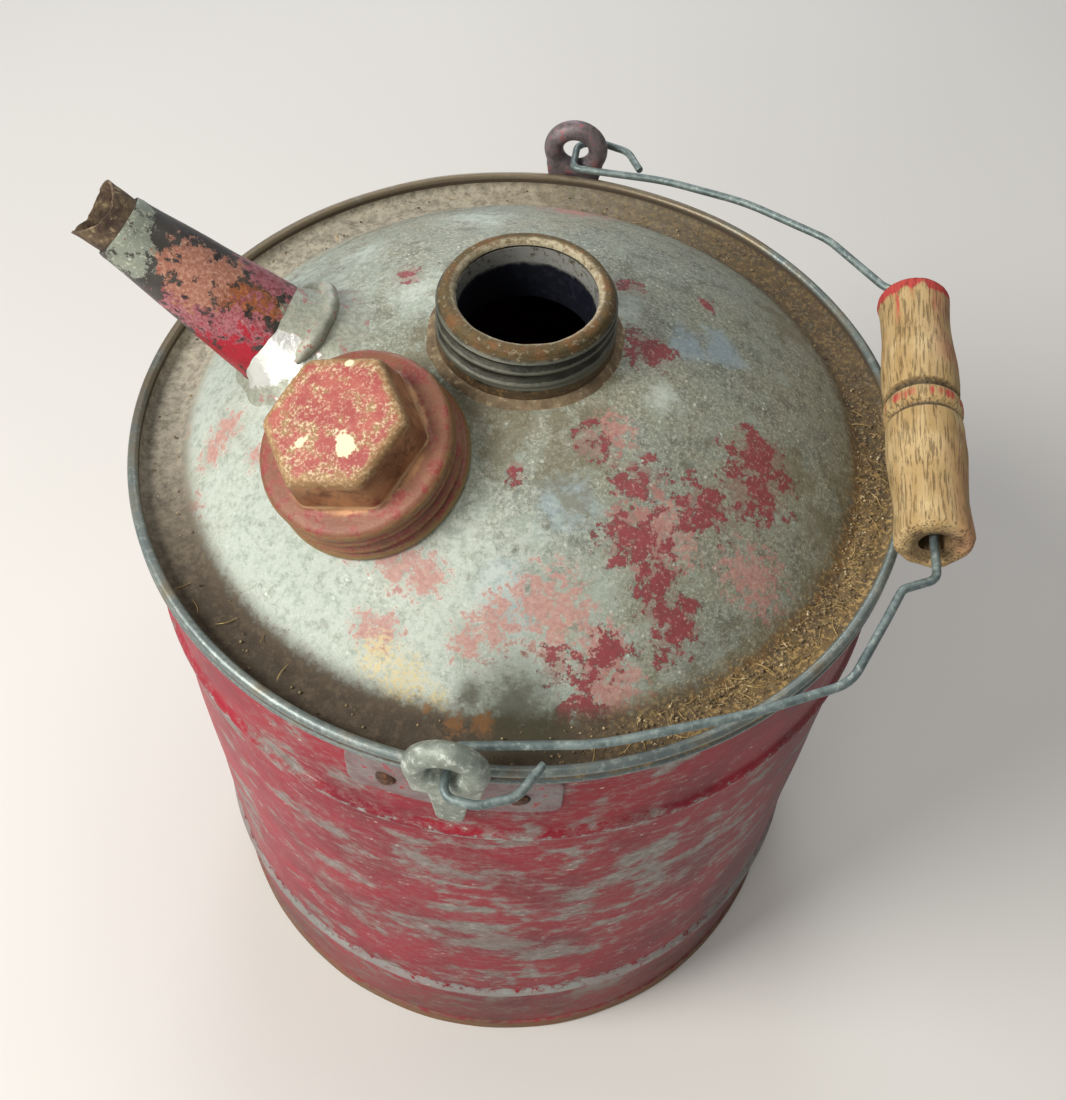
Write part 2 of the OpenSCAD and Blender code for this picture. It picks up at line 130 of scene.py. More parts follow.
SPOUT_AXIS = Vector(mount("spout_outlet")["axis"])
OUTLET_ALONG = 66
SPOUT_FOOT = Vector(mount("spout_outlet")["pos_m"]) / MM - SPOUT_AXIS * OUTLET_ALONG
SPOUT_LEN = 69.4
SPOUT_FOOT_R = 19.6
SPOUT_END_R = 11.5
STUB_LOW = SPOUT_LEN - 9
STUB_TOP = SPOUT_LEN + 11
FOOT_RING_BAR = 3.4
SPOUT_FRAME = frame_at(SPOUT_FOOT, SPOUT_AXIS)

CAP_AXIS = Vector(joint("cap_lift")["axis"])
CAP_R = 34.6
CAP_H = 35.5
CAP_SHOULDER = 18.6
CAP_SEAT = math.sqrt(DOME_R ** 2 - CAP_R ** 2) + 0.35
CAP_TURN = Matrix.Rotation(math.radians(-128.4), 4, "Z") @ Matrix.Rotation(math.radians(23), 4, "Y")
CAP_FRAME = Matrix.Translation(Vector((0, 0, DOME_C)) + CAP_AXIS * CAP_SEAT) @ CAP_TURN
HEX_APOTHEM = 22.1
HEX_TURN = 9

GRIP_MIDDLE = Vector(joint("grip_turn")["pos_m"]) / MM
GRIP_FRAME = frame_at(GRIP_MIDDLE, joint("grip_turn")["axis"])
GRIP_HALF = 60
GRIP_R = 14.2
WAIST_R = 12.9
GRIP_BORE_R = 4.3
PIVOT = Vector(joint("bail_swing")["pos_m"]) / MM
BAIL_REST = math.atan2(GRIP_MIDDLE.z - PIVOT.z, GRIP_MIDDLE.x)
BAIL_FRAME = Matrix.Translation(PIVOT) @ Matrix.Rotation(-BAIL_REST, 4, "Y")
GRIP_REACH = math.hypot(GRIP_MIDDLE.x, GRIP_MIDDLE.z - PIVOT.z)
GRIP_SLIDE = GRIP_MIDDLE.y
GRIP_SKEW = math.asin(-joint("grip_turn")["axis"][0])
STRAP_R = BODY_R + 1.6
RIVET_STEP = 8.8


# ---------- sizes and colours that a user would change ----------

def srgb(code):
    """A hex colour as linear red, green and blue."""
    parts = [int(code[i:i + 2], 16) / 255 for i in (1, 3, 5)]
    return [v / 12.92 if v <= 0.04045 else ((v + 0.055) / 1.055) ** 2.4 for v in parts]


def colour_property(name, description, code):
    """A colour that the user can change, from its hex default."""
    return bpy.props.FloatVectorProperty(
        name=name, description=description, subtype="COLOR", size=3, min=0, max=1, default=srgb(code))


class CanSizes(bpy.types.PropertyGroup):
    """Sizes of the can's visible detail"""

    bead_out: bpy.props.FloatProperty(
        name="Bead height", description="How far the swaged beads stand out of the body",
        default=2 * MM, min=0.5 * MM, max=2.4 * MM, unit="LENGTH", precision=5)
    dent_depth: bpy.props.FloatProperty(
        name="Dent depth", description="Depth of the deepest dents in the body",
        default=1.3 * MM, min=0, max=4 * MM, unit="LENGTH", precision=5)
    unevenness: bpy.props.FloatProperty(
        name="Unevenness", description="How far hammered and rolled sheet wanders inwards",
        default=0.5 * MM, min=0, max=1.2 * MM, unit="LENGTH", precision=5)
    thread_depth: bpy.props.FloatProperty(
        name="Thread depth", description="Depth of the rolled thread on neck and cap",
        default=1.6 * MM, min=0.5 * MM, max=2 * MM, unit="LENGTH", precision=5)
    wire_d: bpy.props.FloatProperty(
        name="Wire thickness", description="Diameter of the bail wire",
        default=3.1 * MM, min=2 * MM, max=3.1 * MM, unit="LENGTH", precision=5)
    grit: bpy.props.IntProperty(
        name="Grit", description="Grains of grit that lie in the gutter", default=1100, min=0, max=4000)
    straw: bpy.props.IntProperty(
        name="Straw", description="Bits of straw that lie in the gutter", default=90, min=0, max=600)


class CanColours(bpy.types.PropertyGroup):
    """Colours of the can's finishes"""

    paint: colour_property("Red paint", "Sound red paint on the body", "#930f27")
    paint_dark: colour_property("Old red paint", "Red paint darkened by grime", "#5f1522")
    paint_pink: colour_property("Chalky paint", "Red paint that has chalked in the sun", "#ad4350")
    zinc: colour_property("Zinc", "Weathered galvanised sheet", "#908e7b")
    zinc_pale: colour_property("Zinc bloom", "White oxide on the zinc", "#d3dbd0")
    zinc_blue: colour_property("Blue zinc", "Blue grey patches of the zinc", "#7a8580")
    # Dark brown of the gutter: dirt, and painted shade of the recess.
    grime_and_shade: colour_property("Grime", "Dirt that has settled in the gutter", "#3d342a")
    gold_dirt: colour_property("Straw dirt", "Dry golden dirt in the gutter", "#77603a")
    rust: colour_property("Rust", "Orange brown rust", "#80502a")
    solder: colour_property("Solder", "Dull bright solder", "#e6e7e2")
    cream: colour_property("Cream spots", "Spots of cream paint and lime on the cap", "#e3d8b4")
    wood: colour_property("Grip wood", "Bare weathered wood", "#b69c70")
    wood_dark: colour_property("Wood pores", "Dirt in the wood's pores and grooves", "#4f3f2c")


# ---------- meshes ----------

def arc(cx, cz, radius, start, end, steps):
    """Points on an arc; the angles are in degrees from straight up, turning outwards."""
    turn = np.radians(np.linspace(start, end, steps + 1))
    return [(cx + radius * math.sin(t), cz + radius * math.cos(t)) for t in turn]


def line(start, end, steps):
    """Points from start to just before end, evenly spaced."""
    return [tuple(np.array(start) + (np.array(end) - np.array(start)) * i / steps) for i in range(steps)]


def place(points, matrix):
    """Moves an array of points with a matrix."""
    turned = points.reshape(-1, 3) @ np.array(matrix.to_3x3()).T + np.array(matrix.translation)
    return turned.reshape(points.shape)


def grid_piece(name, points, closed=True):
    """A skin over a grid of points (round, along the section); the section is always a closed loop.

    An open piece gets a flat face at each end.
    """
    rounds, along = points.shape[:2]
    mesh = bpy.data.meshes.new(name)
    last = rounds if closed else rounds - 1
    faces = []
    for u in range(last):
        a, b = u * along, (u + 1) % rounds * along
        faces += [(a + v, b + v, b + (v + 1) % along, a + (v + 1) % along) for v in range(along)]
    if not closed:
        faces += [tuple(range(along)), tuple(range(last * along, rounds * along))]
    mesh.from_pydata((points.reshape(-1, 3) * MM).tolist(), [], faces)
    work = bmesh.new()
    work.from_mesh(mesh)
    bmesh.ops.remove_doubles(work, verts=work.verts, dist=0.002 * MM)
    bmesh.ops.recalc_face_normals(work, faces=work.faces)
    work.to_mesh(mesh)
    work.free()
    piece = bpy.data.objects.new(name, mesh)
    bpy.context.scene.collection.objects.link(piece)
    return piece


def lathe(name, section, matrix=Matrix(), steps=192, start=0, sweep=360, shape=None):
    """Turns a closed section of (radius, height) points about the matrix's Z.

    shape(radius, angle, height) may change radius and height; angles are in degrees.
    """
    closed = sweep == 360
    angle = np.linspace(start, start + sweep, steps, endpoint=not closed)[:, None]
    section = np.array(section, float)
    angle = angle + np.zeros(len(section))
    radius = section[:, 0] + np.zeros(angle.shape)
    height = section[:, 1] + np.zeros(angle.shape)
    if shape:
        radius, height = shape(radius, angle, height)
    turn = np.radians(angle)
    points = np.stack([radius * np.cos(turn), radius * np.sin(turn), height], -1)
    return grid_piece(name, place(points, matrix), closed)


def wander(points, size, seed):
    """Smooth noise from -1 to 1 at each point, with waves of about size millimetres."""
    flat = points.reshape(-1, 3) / size
    values = [noise.noise(Vector((p[0] + seed * 7.3, p[1], p[2]))) for p in flat]
    return np.array(values).reshape(points.shape[:-1])


def ring_points(radius, angle, height):
    """Cylinder coordinates in degrees and millimetres as points."""
    turn = np.radians(angle)
    return np.stack([radius * np.cos(turn), radius * np.sin(turn), height + 0 * turn], -1)


def smooth_step(value, low, high):
    """0 below low, 1 above high, and smooth between."""
    t = np.clip((value - low) / (high - low), 0, 1)
    return t * t * (3 - 2 * t)


def angle_gap(angle, other):
    """Distance between two directions in degrees, from 0 to 180."""
    return np.abs((angle - other + 180) % 360 - 180)


def coords(piece, matrix=Matrix()):
    """A piece's vertices in the matrix's frame, in millimetres."""
    co = np.zeros(len(piece.data.vertices) * 3)
    piece.data.vertices.foreach_get("co", co)
    return place(co.reshape(-1, 3) / MM, matrix.inverted())


def mark(piece, name, values):
    """Stores a mask that the piece's material reads, one value from 0 to 1 a vertex."""
    layer = piece.data.attributes.new(name, "FLOAT", "POINT")
    layer.data.foreach_set("value", np.clip(values, 0, 1).astype(np.float32))


def spots(x, y, places):
    """How deep each point lies in the nearest spot (x, y, radius): 1 in its middle, 0.5 on its edge."""
    field = np.zeros(len(x))
    for px, py, radius in places:
        field = np.maximum(field, 1 - np.hypot(x - px, y - py) / (2 * radius))
    return np.clip(field, 0, 1)


def patches(across, up, places):
    """Like spots, for patches (angle, height, half width in degrees, half height) on a round wall."""
    field = np.zeros(len(across))
    for angle, height, wide, tall in places:
        gap = np.hypot(angle_gap(across, angle) / wide, (up - height) / tall)
        field = np.maximum(field, 1 - gap / 2)
    return np.clip(field, 0, 1)


def keep_piece(piece, material, body, slot, *nodes, sharp=40):
    """Shades a finished piece, gives it its material, and puts it on its body."""
    piece.data.shade_smooth()
    piece.data.set_sharp_from_angle(angle=math.radians(sharp))
    piece.data.materials.clear()
    piece.data.materials.append(material)
    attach(piece, body)
    if nodes:
        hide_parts(*nodes)
    return piece


def softened_copy(node, name, voxel, passes):
    """A copy of a CAD node with its edges run together, as on a casting or a worn sheet."""
    piece = bpy.data.objects.new(name, frame["nodes"][node].data.copy())
    bpy.context.scene.collection.objects.link(piece)
    work = bmesh.new()
    work.from_mesh(piece.data)
    bmesh.ops.remove_doubles(work, verts=work.verts, dist=0.01 * MM)
    work.to_mesh(piece.data)
    work.free()
    remesh = piece.modifiers.new("Even mesh", "REMESH")
    remesh.mode = "VOXEL"
    remesh.voxel_size = voxel * MM
    smooth = piece.modifiers.new("Soft edges", "SMOOTH")
    smooth.factor = 0.5
    smooth.iterations = passes
    return apply_modifiers(piece)


def apply_modifiers(piece):
    """Turns a piece with its modifiers into a plain mesh."""
    shape = piece.evaluated_get(bpy.context.evaluated_depsgraph_get())
    mesh = bpy.data.meshes.new_from_object(shape)
    piece.modifiers.clear()
    piece.data = mesh
    return piece


# ---------- materials ----------

def add(tree, kind, inputs=None, **settings):
    """Adds a node with its settings.

    An input is a value, a socket that feeds it, or the name of a mask that mark() left on the mesh.
    """
    made = tree.nodes.new(kind)
    for key, value in settings.items():
        setattr(made, key, value)
    for key, value in (inputs or {}).items():
        if isinstance(value, str) and made.inputs[key].type == "VALUE":
            value = add(tree, "ShaderNodeAttribute", attribute_name=value).outputs["Fac"]
        if isinstance(value, bpy.types.NodeSocket):
            tree.links.new(value, made.inputs[key])
        else:
            made.inputs[key].default_value = value
    return made


def per(size):
    """Noise scale for a feature of this many millimetres, in a space measured in metres."""
    return 1 / (size * MM)


def rgba(colour):
    """A colour for a node's socket, from a hex code or a stored linear colour."""
    return (*(srgb(colour) if isinstance(colour, str) else colour), 1)


def begin(name):
    """A new material, its node tree and its Object coordinates."""
    material = bpy.data.materials.new(name)
    material.use_nodes = True
    material.node_tree.nodes.clear()
    tree = material.node_tree
    return material, tree, add(tree, "ShaderNodeTexCoord").outputs["Object"]


def grain(tree, where, size, detail=4, rough=0.55):
    """Noise with features of about size millimetres, spread to fill 0 to 1."""
    raw = add(tree, "ShaderNodeTexNoise",
              {"Vector": where, "Scale": per(size), "Detail": detail, "Roughness": rough})
    return add(tree, "ShaderNodeMapRange", {"Value": raw.outputs[0], 1: 0.25, 2: 0.75}).outputs[0]


def mask(tree, *parts):
    """The product of its parts: sockets, numbers, names of stored masks, and soft cuts.

    A soft cut is (value, edge, middle), 1 where value is above the middle (0.5 if not given).
    """
    product = None
    for part in parts:
        if isinstance(part, tuple):
            value, edge, middle = (*part, 0.5)[:3]
            part = add(tree, "ShaderNodeMapRange", {"Value": value, 1: middle - edge, 2: middle + edge},
                       interpolation_type="SMOOTHSTEP").outputs[0]
        product = part if product is None else add(
            tree, "ShaderNodeMath", {0: product, 1: part}, operation="MULTIPLY").outputs[0]
    return product


def ragged(tree, soft, noise_value, spread=0.9, edge=0.06, shift=0.0):
    """A soft mask, from 0 to 1, cut at its half-way line and broken up by noise."""
    moved = add(tree, "ShaderNodeMath", {0: noise_value, 1: spread, 2: shift - spread / 2},
                operation="MULTIPLY_ADD")
    total = add(tree, "ShaderNodeMath", {0: moved.outputs[0], 1: soft}, operation="ADD")
    return mask(tree, (total.outputs[0], edge))


def pin_dots(tree, where, spacing, size, few=0.6):
    """Small round dots, one to a cell of about spacing millimetres; few is the share left empty."""
    cells = add(tree, "ShaderNodeTexVoronoi", {"Vector": where, "Scale": per(spacing)})
    near = add(tree, "ShaderNodeMapRange", {"Value": cells.outputs["Distance"], 1: size * 1.5, 2: size})
    chance = add(tree, "ShaderNodeSeparateColor", {"Color": cells.outputs["Color"]}).outputs[0]
    return mask(tree, near.outputs[0], (chance, 0.02, few))


def layers(tree, base, *coats):
    """Colour socket of the coats (mask, colour) laid over the base, one after the other."""
    for cover, colour in coats:
        base = add(tree, "ShaderNodeMix", {0: cover, 6: base, 7: colour}, data_type="RGBA").outputs[2]
    return base


def steps_of(tree, base, *coats):
    """Like layers, for a plain number such as roughness."""
    for cover, value in coats:
        base = add(tree, "ShaderNodeMix", {0: cover, 2: base, 3: value}, data_type="FLOAT").outputs[0]
    return base


def end(tree, colour, roughness, metallic=0.0, height=None, bump=0.1, specular=0.5):
    """The shader and its bump of so many millimetres, joined to the material's output."""
    shader = add(tree, "ShaderNodeBsdfPrincipled",
                 {"Base Color": colour, "Roughness": roughness, "Metallic": metallic,
                  "Specular IOR Level": specular})
    if height is not None:
        relief = add(tree, "ShaderNodeBump", {"Height": height, "Strength": 1, "Distance": bump * MM})
        tree.links.new(relief.outputs[0], shader.inputs["Normal"])
    add(tree, "ShaderNodeOutputMaterial", {"Surface": shader.outputs[0]})


def galvanised_top(colours):
    """Hot-dip galvanised sheet, weathered: matt grey-green zinc, full of fine pale specks and white oxide, with
    flakes of red paint left on it, a painted highlight that makes its left-front shoulder paler, and dirt and
    painted shade in its gutter."""
    material, tree, where = begin("weathered_galvanised_sheet")
    speck = grain(tree, where, 1.5, 6, 0.7)
    fine = grain(tree, where, 3.4, 9, 0.78)
    middle = grain(tree, where, 11, 8, 0.72)
    large = grain(tree, where, 42, 3)
    flake = grain(tree, where, 7, 12, 0.72)
    tiny = grain(tree, where, 1.1, 3, 0.7)
    tiny_dark = grain(tree, where, 1.3, 4, 0.75)
    dots = pin_dots(tree, where, 3.6, 0.12, 0.75)
    zinc = layers(
        tree, rgba(colours.zinc),
        (mask(tree, (large, 0.3), 0.8), rgba(colours.zinc_blue)),
        (mask(tree, (middle, 0.3, 0.55), 0.7), rgba("#9b9a86")),
        (mask(tree, (fine, 0.3, 0.58), 0.5), rgba("#5f6053")),
        (mask(tree, (speck, 0.15, 0.6), 0.5), rgba("#b3b5a4")),
        (mask(tree, (middle, 0.1, 0.6), 0.35), rgba("#6a6b5b")),
        (mask(tree, (flake, 0.1, 0.6), 0.5), rgba("#4f5247")),
        (mask(tree, (tiny, 0.08, 0.64), 0.55), rgba("#c0c3b2")),
        (mask(tree, (tiny_dark, 0.08, 0.66), 0.5), rgba("#474a40")),
        (mask(tree, dots, 0.7), rgba(colours.zinc_pale)))
    # Pale zinc: white oxide patches, and a painted highlight that makes the dome's left-front shoulder paler.
    bloom = ragged(tree, "bloom", middle, 1.4, 0.4)
    bloom_and_highlight_specks = ragged(tree, "bloom", fine, 1.8, 0.3, -0.15)
    blue = ragged(tree, "blue", middle, 0.9, 0.2)
    pink = mask(tree, ragged(tree, "pink", fine, 2.6, 0.16, 0.02),
                 ("pink", 0.05, 0.06))
    near_paint = mask(tree, ("paint", 0.06, 0.07))
    fringe = mask(tree, ragged(tree, "paint", fine, 1.8, 0.15, 0.0), near_paint)
    paint = mask(tree, ragged(tree, "paint", flake, 3.6, 0.05, -0.1), near_paint)
    paint_tint = add(tree, "ShaderNodeMix", {0: fine, 6: rgba("#6c2a2f"), 7: rgba("#984046")},
                     data_type="RGBA").outputs[2]
    pink_tint = add(tree, "ShaderNodeMix", {0: speck, 6: rgba("#9c5a58"), 7: rgba("#c09a8c")},
                    data_type="RGBA").outputs[2]
    dirt = mask(tree, ragged(tree, "dirt", flake, 1.6, 0.3), 0.6)
    # The gutter is coloured dark brown all round: dirt, and painted shade of the recess, a little darker on the
    # left-front side; gold and tan dirt lie over it.
    gutter = ragged(tree, "gutter", fine, 0.7, 0.4)
    dirt_and_shade_tint = layers(
        tree, rgba(colours.grime_and_shade),
        (mask(tree, (middle, 0.3), 0.7), rgba("#493e31")),
        (mask(tree, (fine, 0.2, 0.58), 0.45), rgba("#6b5e4c")),
        (mask(tree, "tan", (fine, 0.5, 0.4)), rgba("#b5ae9c")),
        (mask(tree, "gold", (middle, 0.35, 0.42)), rgba(colours.gold_dirt)),
        (mask(tree, "gold", (speck, 0.1, 0.6)), rgba("#b0935e")))
    stain = mask(tree, ragged(tree, "stain", fine, 0.9, 0.4), 0.85)
    yellow = mask(tree, ragged(tree, "yellow", speck, 1.0, 0.3), 0.8)
    rust = ragged(tree, "rust", fine, 1.0, 0.25)
    colour = layers(
        tree, zinc,
        (mask(tree, blue, 0.6), rgba("#8fa3b0")),
        (mask(tree, bloom, 0.64), rgba("#a3b0a6")),
        (mask(tree, bloom_and_highlight_specks, 0.42), rgba("#d6ddd4")),
        (dirt, rgba("#6e6549")),
        (mask(tree, pink, 0.85), pink_tint),
        (mask(tree, fringe, 0.45), rgba("#95605a")),
        (mask(tree, paint, 0.92), paint_tint),
        (mask(tree, paint, (speck, 0.1, 0.7), 0.7), rgba("#b99a8c")),
        (mask(tree, yellow, (speck, 0.2, 0.45)), rgba("#c9b888")),
        (gutter, dirt_and_shade_tint),
        (stain, rgba("#3c3a28")),
        (mask(tree, rust, 0.7), rgba("#7d5630")))
    matt = steps_of(tree, 0.5, (bloom, 0.72), (pink, 0.7), (paint, 0.5), (dirt, 0.85), (gutter, 0.92))
    bare = steps_of(tree, 0.25, (bloom, 0.12), (pink, 0.0), (paint, 0.0), (dirt, 0.0), (gutter, 0.0),
                    (stain, 0.0))
    height = steps_of(tree, mask(tree, fine, 0.6), (paint, 1.0), (gutter, speck))
    end(tree, colour, matt, bare, height, 0.16)
    return material


def scraped_paint(colours):
    """Red oil paint brushed on zinc and scraped by years of use: satin red, worn along level scratches and on the
    beads to dull grey zinc, chalky pink on the sunny side, with painted shade that darkens the right side and the
    lower wall."""
    material, tree, where = begin("scraped_red_paint")
    level = add(tree, "ShaderNodeMapping", {"Vector": where, "Scale": (1, 1, 1.6)}).outputs[0]
    long = grain(tree, level, 19, 11, 0.7)
    short = grain(tree, level, 5, 8, 0.74)
    hair = grain(tree, add(tree, "ShaderNodeMapping", {"Vector": where, "Scale": (1, 1, 14)}).outputs[0],
                 14, 5, 0.7)
    soft = grain(tree, where, 38, 4)
    fine = grain(tree, where, 2.2, 6, 0.7)
    wear = ragged(tree, "wear", long, 1.5, 0.2)
    rub = ragged(tree, "wear", short, 1.6, 0.3, 0.08)
    bead = ragged(tree, "bead", short, 1.5, 0.12)
    scratch = mask(tree, (hair, 0.05, 0.8), (soft, 0.2, 0.45))
    chips = mask(tree, (short, 0.03, 0.8), (fine, 0.1, 0.45))
    red = layers(
        tree, rgba(colours.paint),
        (mask(tree, (soft, 0.3, 0.6), 0.7), rgba(colours.paint_dark)),
        (mask(tree, (long, 0.2, 0.62), 0.6), rgba("#a81c33")),
        (mask(tree, "chalk", (short, 0.5, 0.45)), rgba(colours.paint_pink)))
    zinc = layers(
        tree, rgba("#7b7b74"),
        (mask(tree, (short, 0.25)), rgba("#a9aea7")),
        (mask(tree, (fine, 0.25, 0.4), 0.4), rgba("#6f706a")),
        (mask(tree, (soft, 0.3, 0.6), 0.5), rgba("#857671")))
    foot = ragged(tree, "foot", short, 0.8, 0.3)
    rust = ragged(tree, "rust", short, 0.8, 0.3)
    # Painted shade: the wall is coloured dark brown-red on its right side and towards the bottom.
    shade = ragged(tree, "shade", soft, 0.5, 0.5)
    colour = layers(
        tree, red,
        (mask(tree, rub, 0.42), rgba("#8d7773")),
        (mask(tree, wear, 0.86), zinc),
        (mask(tree, bead, 0.75), rgba("#a3aaa6")),
        (mask(tree, scratch, 0.7), rgba("#b9aaa6")),
        (mask(tree, chips, 0.8), rgba("#e6dcd2")),
        (mask(tree, pin_dots(tree, level, 7, 0.09, 0.85), 0.7), rgba("#d3c3ba")),
        (mask(tree, foot, 0.65), rgba("#7f625b")),
        (mask(tree, shade, 0.55), rgba("#3a1f1b")),
        (mask(tree, rust, 0.7), rgba("#80694a")))
    matt = steps_of(tree, 0.5, (rub, 0.6), (wear, 0.5), (foot, 0.7), (rust, 0.85))
    bare = steps_of(tree, 0.0, (wear, 0.35), (bead, 0.35), (rust, 0.0))
    height = steps_of(tree, 1.0, (wear, mask(tree, fine, 0.4)), (bead, 0.2))
    end(tree, colour, matt, bare, height, 0.14, 0.25)
    return material


def rolled_zinc():
    """Rolled galvanised edge: blue-grey zinc, rubbed brighter on the crest; its groove and inner face are coloured
    dark brown, painted shade, with tan-gold dirt at the right front.
    """
    material, tree, where = begin("rolled_galvanised_edge")
    fine = grain(tree, where, 2.5, 6, 0.7)
    middle = grain(tree, where, 14, 4)
    # Painted shade: the groove and the rim's inner face are coloured dark brown; the gold is dirt.
    groove = ragged(tree, "groove", fine, 0.7, 0.3)
    tint = layers(tree, rgba("#4f4337"), ("gold", rgba("#8a6d3c")),
                  (mask(tree, "gold", (fine, 0.12, 0.62)), rgba("#b5975c")))
    colour = layers(
        tree, rgba("#6c7675"),
        (mask(tree, (middle, 0.3)), rgba("#7f8a87")),
        (mask(tree, (fine, 0.15, 0.62), 0.55), rgba("#a4aca6")),
        (mask(tree, ragged(tree, "tan", middle, 0.9, 0.3), 0.8), rgba("#7a684e")),
        (groove, tint))
    end(tree, colour, steps_of(tree, 0.42, (groove, 0.9)), steps_of(tree, 0.5, (groove, 0.0)),
        fine, 0.08)
    return material


def rusty_neck(colours):
    """Stamped steel neck: rust on the rolled lip, dark olive grime in the thread with painted highlights in
    lighter grey on its crests, tan at the foot.
    """
    material, tree, where = begin("rusty_stamped_steel")
    fine = grain(tree, where, 2, 7, 0.72)
    middle = grain(tree, where, 7, 6, 0.65)
    lip = ragged(tree, "lip", fine, 0.6, 0.25)
    # Painted highlight: the thread's crests are coloured lighter grey.
    crest = ragged(tree, "crest", middle, 0.8, 0.2)
    foot = ragged(tree, "foot", middle, 0.8, 0.3)
    base = layers(tree, rgba("#2c2d26"), (mask(tree, (middle, 0.3)), rgba("#403f34")),
                  (mask(tree, crest, 0.7), rgba("#727366")),
                  (mask(tree, foot, 0.85), rgba("#53432f")),
                  (mask(tree, foot, (fine, 0.15, 0.62)), rgba("#7a6040")))
    rust = layers(tree, rgba("#62512f"), (mask(tree, (fine, 0.2)), rgba("#453a26")),
                  (mask(tree, (middle, 0.2, 0.62), 0.55), rgba(colours.rust)),
                  (mask(tree, (fine, 0.06, 0.66), 0.8), rgba("#8f8468")),
                  (mask(tree, "worn", (fine, 0.3, 0.4)), rgba("#b5ab90")))
    colour = layers(tree, base, (lip, rust))
    end(tree, colour, steps_of(tree, 0.45, (lip, 0.75)), steps_of(tree, 0.45, (lip, 0.1), (foot, 0.1)),
        fine, 0.18)
    return material


def splashed_solder(colours):
    """Solder run around the spout's foot: dull grey zinc colour, and shiny white where it splashed."""
    material, tree, where = begin("splashed_solder")
    fine = grain(tree, where, 1.8, 7, 0.72)
    middle = grain(tree, where, 6, 6, 0.65)
    bright = ragged(tree, "bright", middle, 0.9, 0.12)
    pinkish = mask(tree, (middle, 0.06, 0.66), (fine, 0.1, 0.45))
    colour = layers(tree, rgba("#8a8d80"), (mask(tree, (fine, 0.25)), rgba("#a3a798")),
                    (mask(tree, pinkish, 0.8), rgba("#9c5c5c")), (bright, rgba(colours.solder)))
    end(tree, colour, steps_of(tree, 0.55, (bright, 0.3)), steps_of(tree, 0.25, (bright, 0.6)), middle, 0.3)
    return material


def tinned_sleeve():
    """Tinned steel inside the neck: bright and smooth near the mouth; below it painted shade of the neck's inside,
    blue-black.
    """
    material, tree, where = begin("tinned_steel_sleeve")
    fine = grain(tree, where, 3, 6, 0.7)
    mouth = ragged(tree, "mouth", fine, 0.3, 0.3)
    # Painted shade: below the mouth the sleeve is coloured blue-black, the dark of the neck's inside.
    colour = layers(tree, rgba("#0b0d1a"),
                    (mask(tree, (fine, 0.2, 0.65), 0.3), rgba("#343a44")),
                    (mouth, rgba("#c6c7bf")),
                    (mask(tree, mouth, (fine, 0.15, 0.66)), rgba("#7c7362")))
    end(tree, colour, steps_of(tree, 0.55, (mouth, 0.24)), steps_of(tree, 0.2, (mouth, 0.6)), fine, 0.04)
    return material


def mottled(name, dark, light, roughness, metallic, size, specks, bump=0.08):
    """A plain finish, mottled between two colours with noise of size millimetres, and speckled."""
    material, tree, where = begin(name)
    fine = grain(tree, where, size, 6, 0.7)
    middle = grain(tree, where, size * 4, 4)
    mottle = add(tree, "ShaderNodeMath", {0: fine, 1: middle}, operation="ADD").outputs[0]
    colour = layers(tree, rgba(dark), (mask(tree, (mottle, 0.5, 1.0)), rgba(light)),
                    (mask(tree, (fine, 0.06, 0.7)), rgba(specks)))
    end(tree, colour, steps_of(tree, roughness, (mask(tree, (middle, 0.3)), roughness + 0.12)),
        metallic, fine, bump)
    return material


def painted_spout():
    """Rolled steel spout: dark bare steel, red paint and salmon primer in flakes, rust between."""
    material, tree, where = begin("flaked_paint_on_steel")
    fine = grain(tree, where, 1.3, 7, 0.75)
    flake = grain(tree, where, 4, 9, 0.76)
    middle = grain(tree, where, 13, 4)
    masks = {name: ragged(tree, name, flake, 1.6, 0.04)
             for name in ("paint", "primer", "rust", "vivid", "pale")}
    colour = layers(
        tree, rgba("#37312e"),
        (mask(tree, (middle, 0.3)), rgba("#4b4844")),
        (mask(tree, (flake, 0.1, 0.68), 0.6), rgba("#7a776e")),
        (masks["pale"], rgba("#8f9688")),
        (mask(tree, masks["pale"], (fine, 0.1, 0.66)), rgba("#c9ccb8")),
        (masks["rust"], rgba("#8a5030")),
        (mask(tree, masks["rust"], (fine, 0.12, 0.55)), rgba("#b3683a")),
        (mask(tree, masks["paint"], 0.9), rgba("#84303a")),
        (mask(tree, masks["paint"], (fine, 0.2, 0.45), 0.85), rgba("#b0727a")),
        (masks["primer"], rgba("#9a6452")),
        (mask(tree, masks["primer"], (fine, 0.15, 0.55)), rgba("#b98a74")),
        (masks["vivid"], rgba("#a8142c")),
        (mask(tree, (fine, 0.03, 0.82), 0.8), rgba("#d8cdb2")))
    matt = steps_of(tree, 0.42, (masks["rust"], 0.8), (masks["paint"], 0.45), (masks["primer"], 0.7))
    bare = steps_of(tree, 0.4, (masks["rust"], 0.0), (masks["paint"], 0.0), (masks["primer"], 0.0),
                    (masks["vivid"], 0.0))
    raised = steps_of(tree, mask(tree, fine, 0.4), (masks["paint"], 1.0), (masks["primer"], 0.8))
    end(tree, colour, matt, bare, raised, 0.16)
    return material


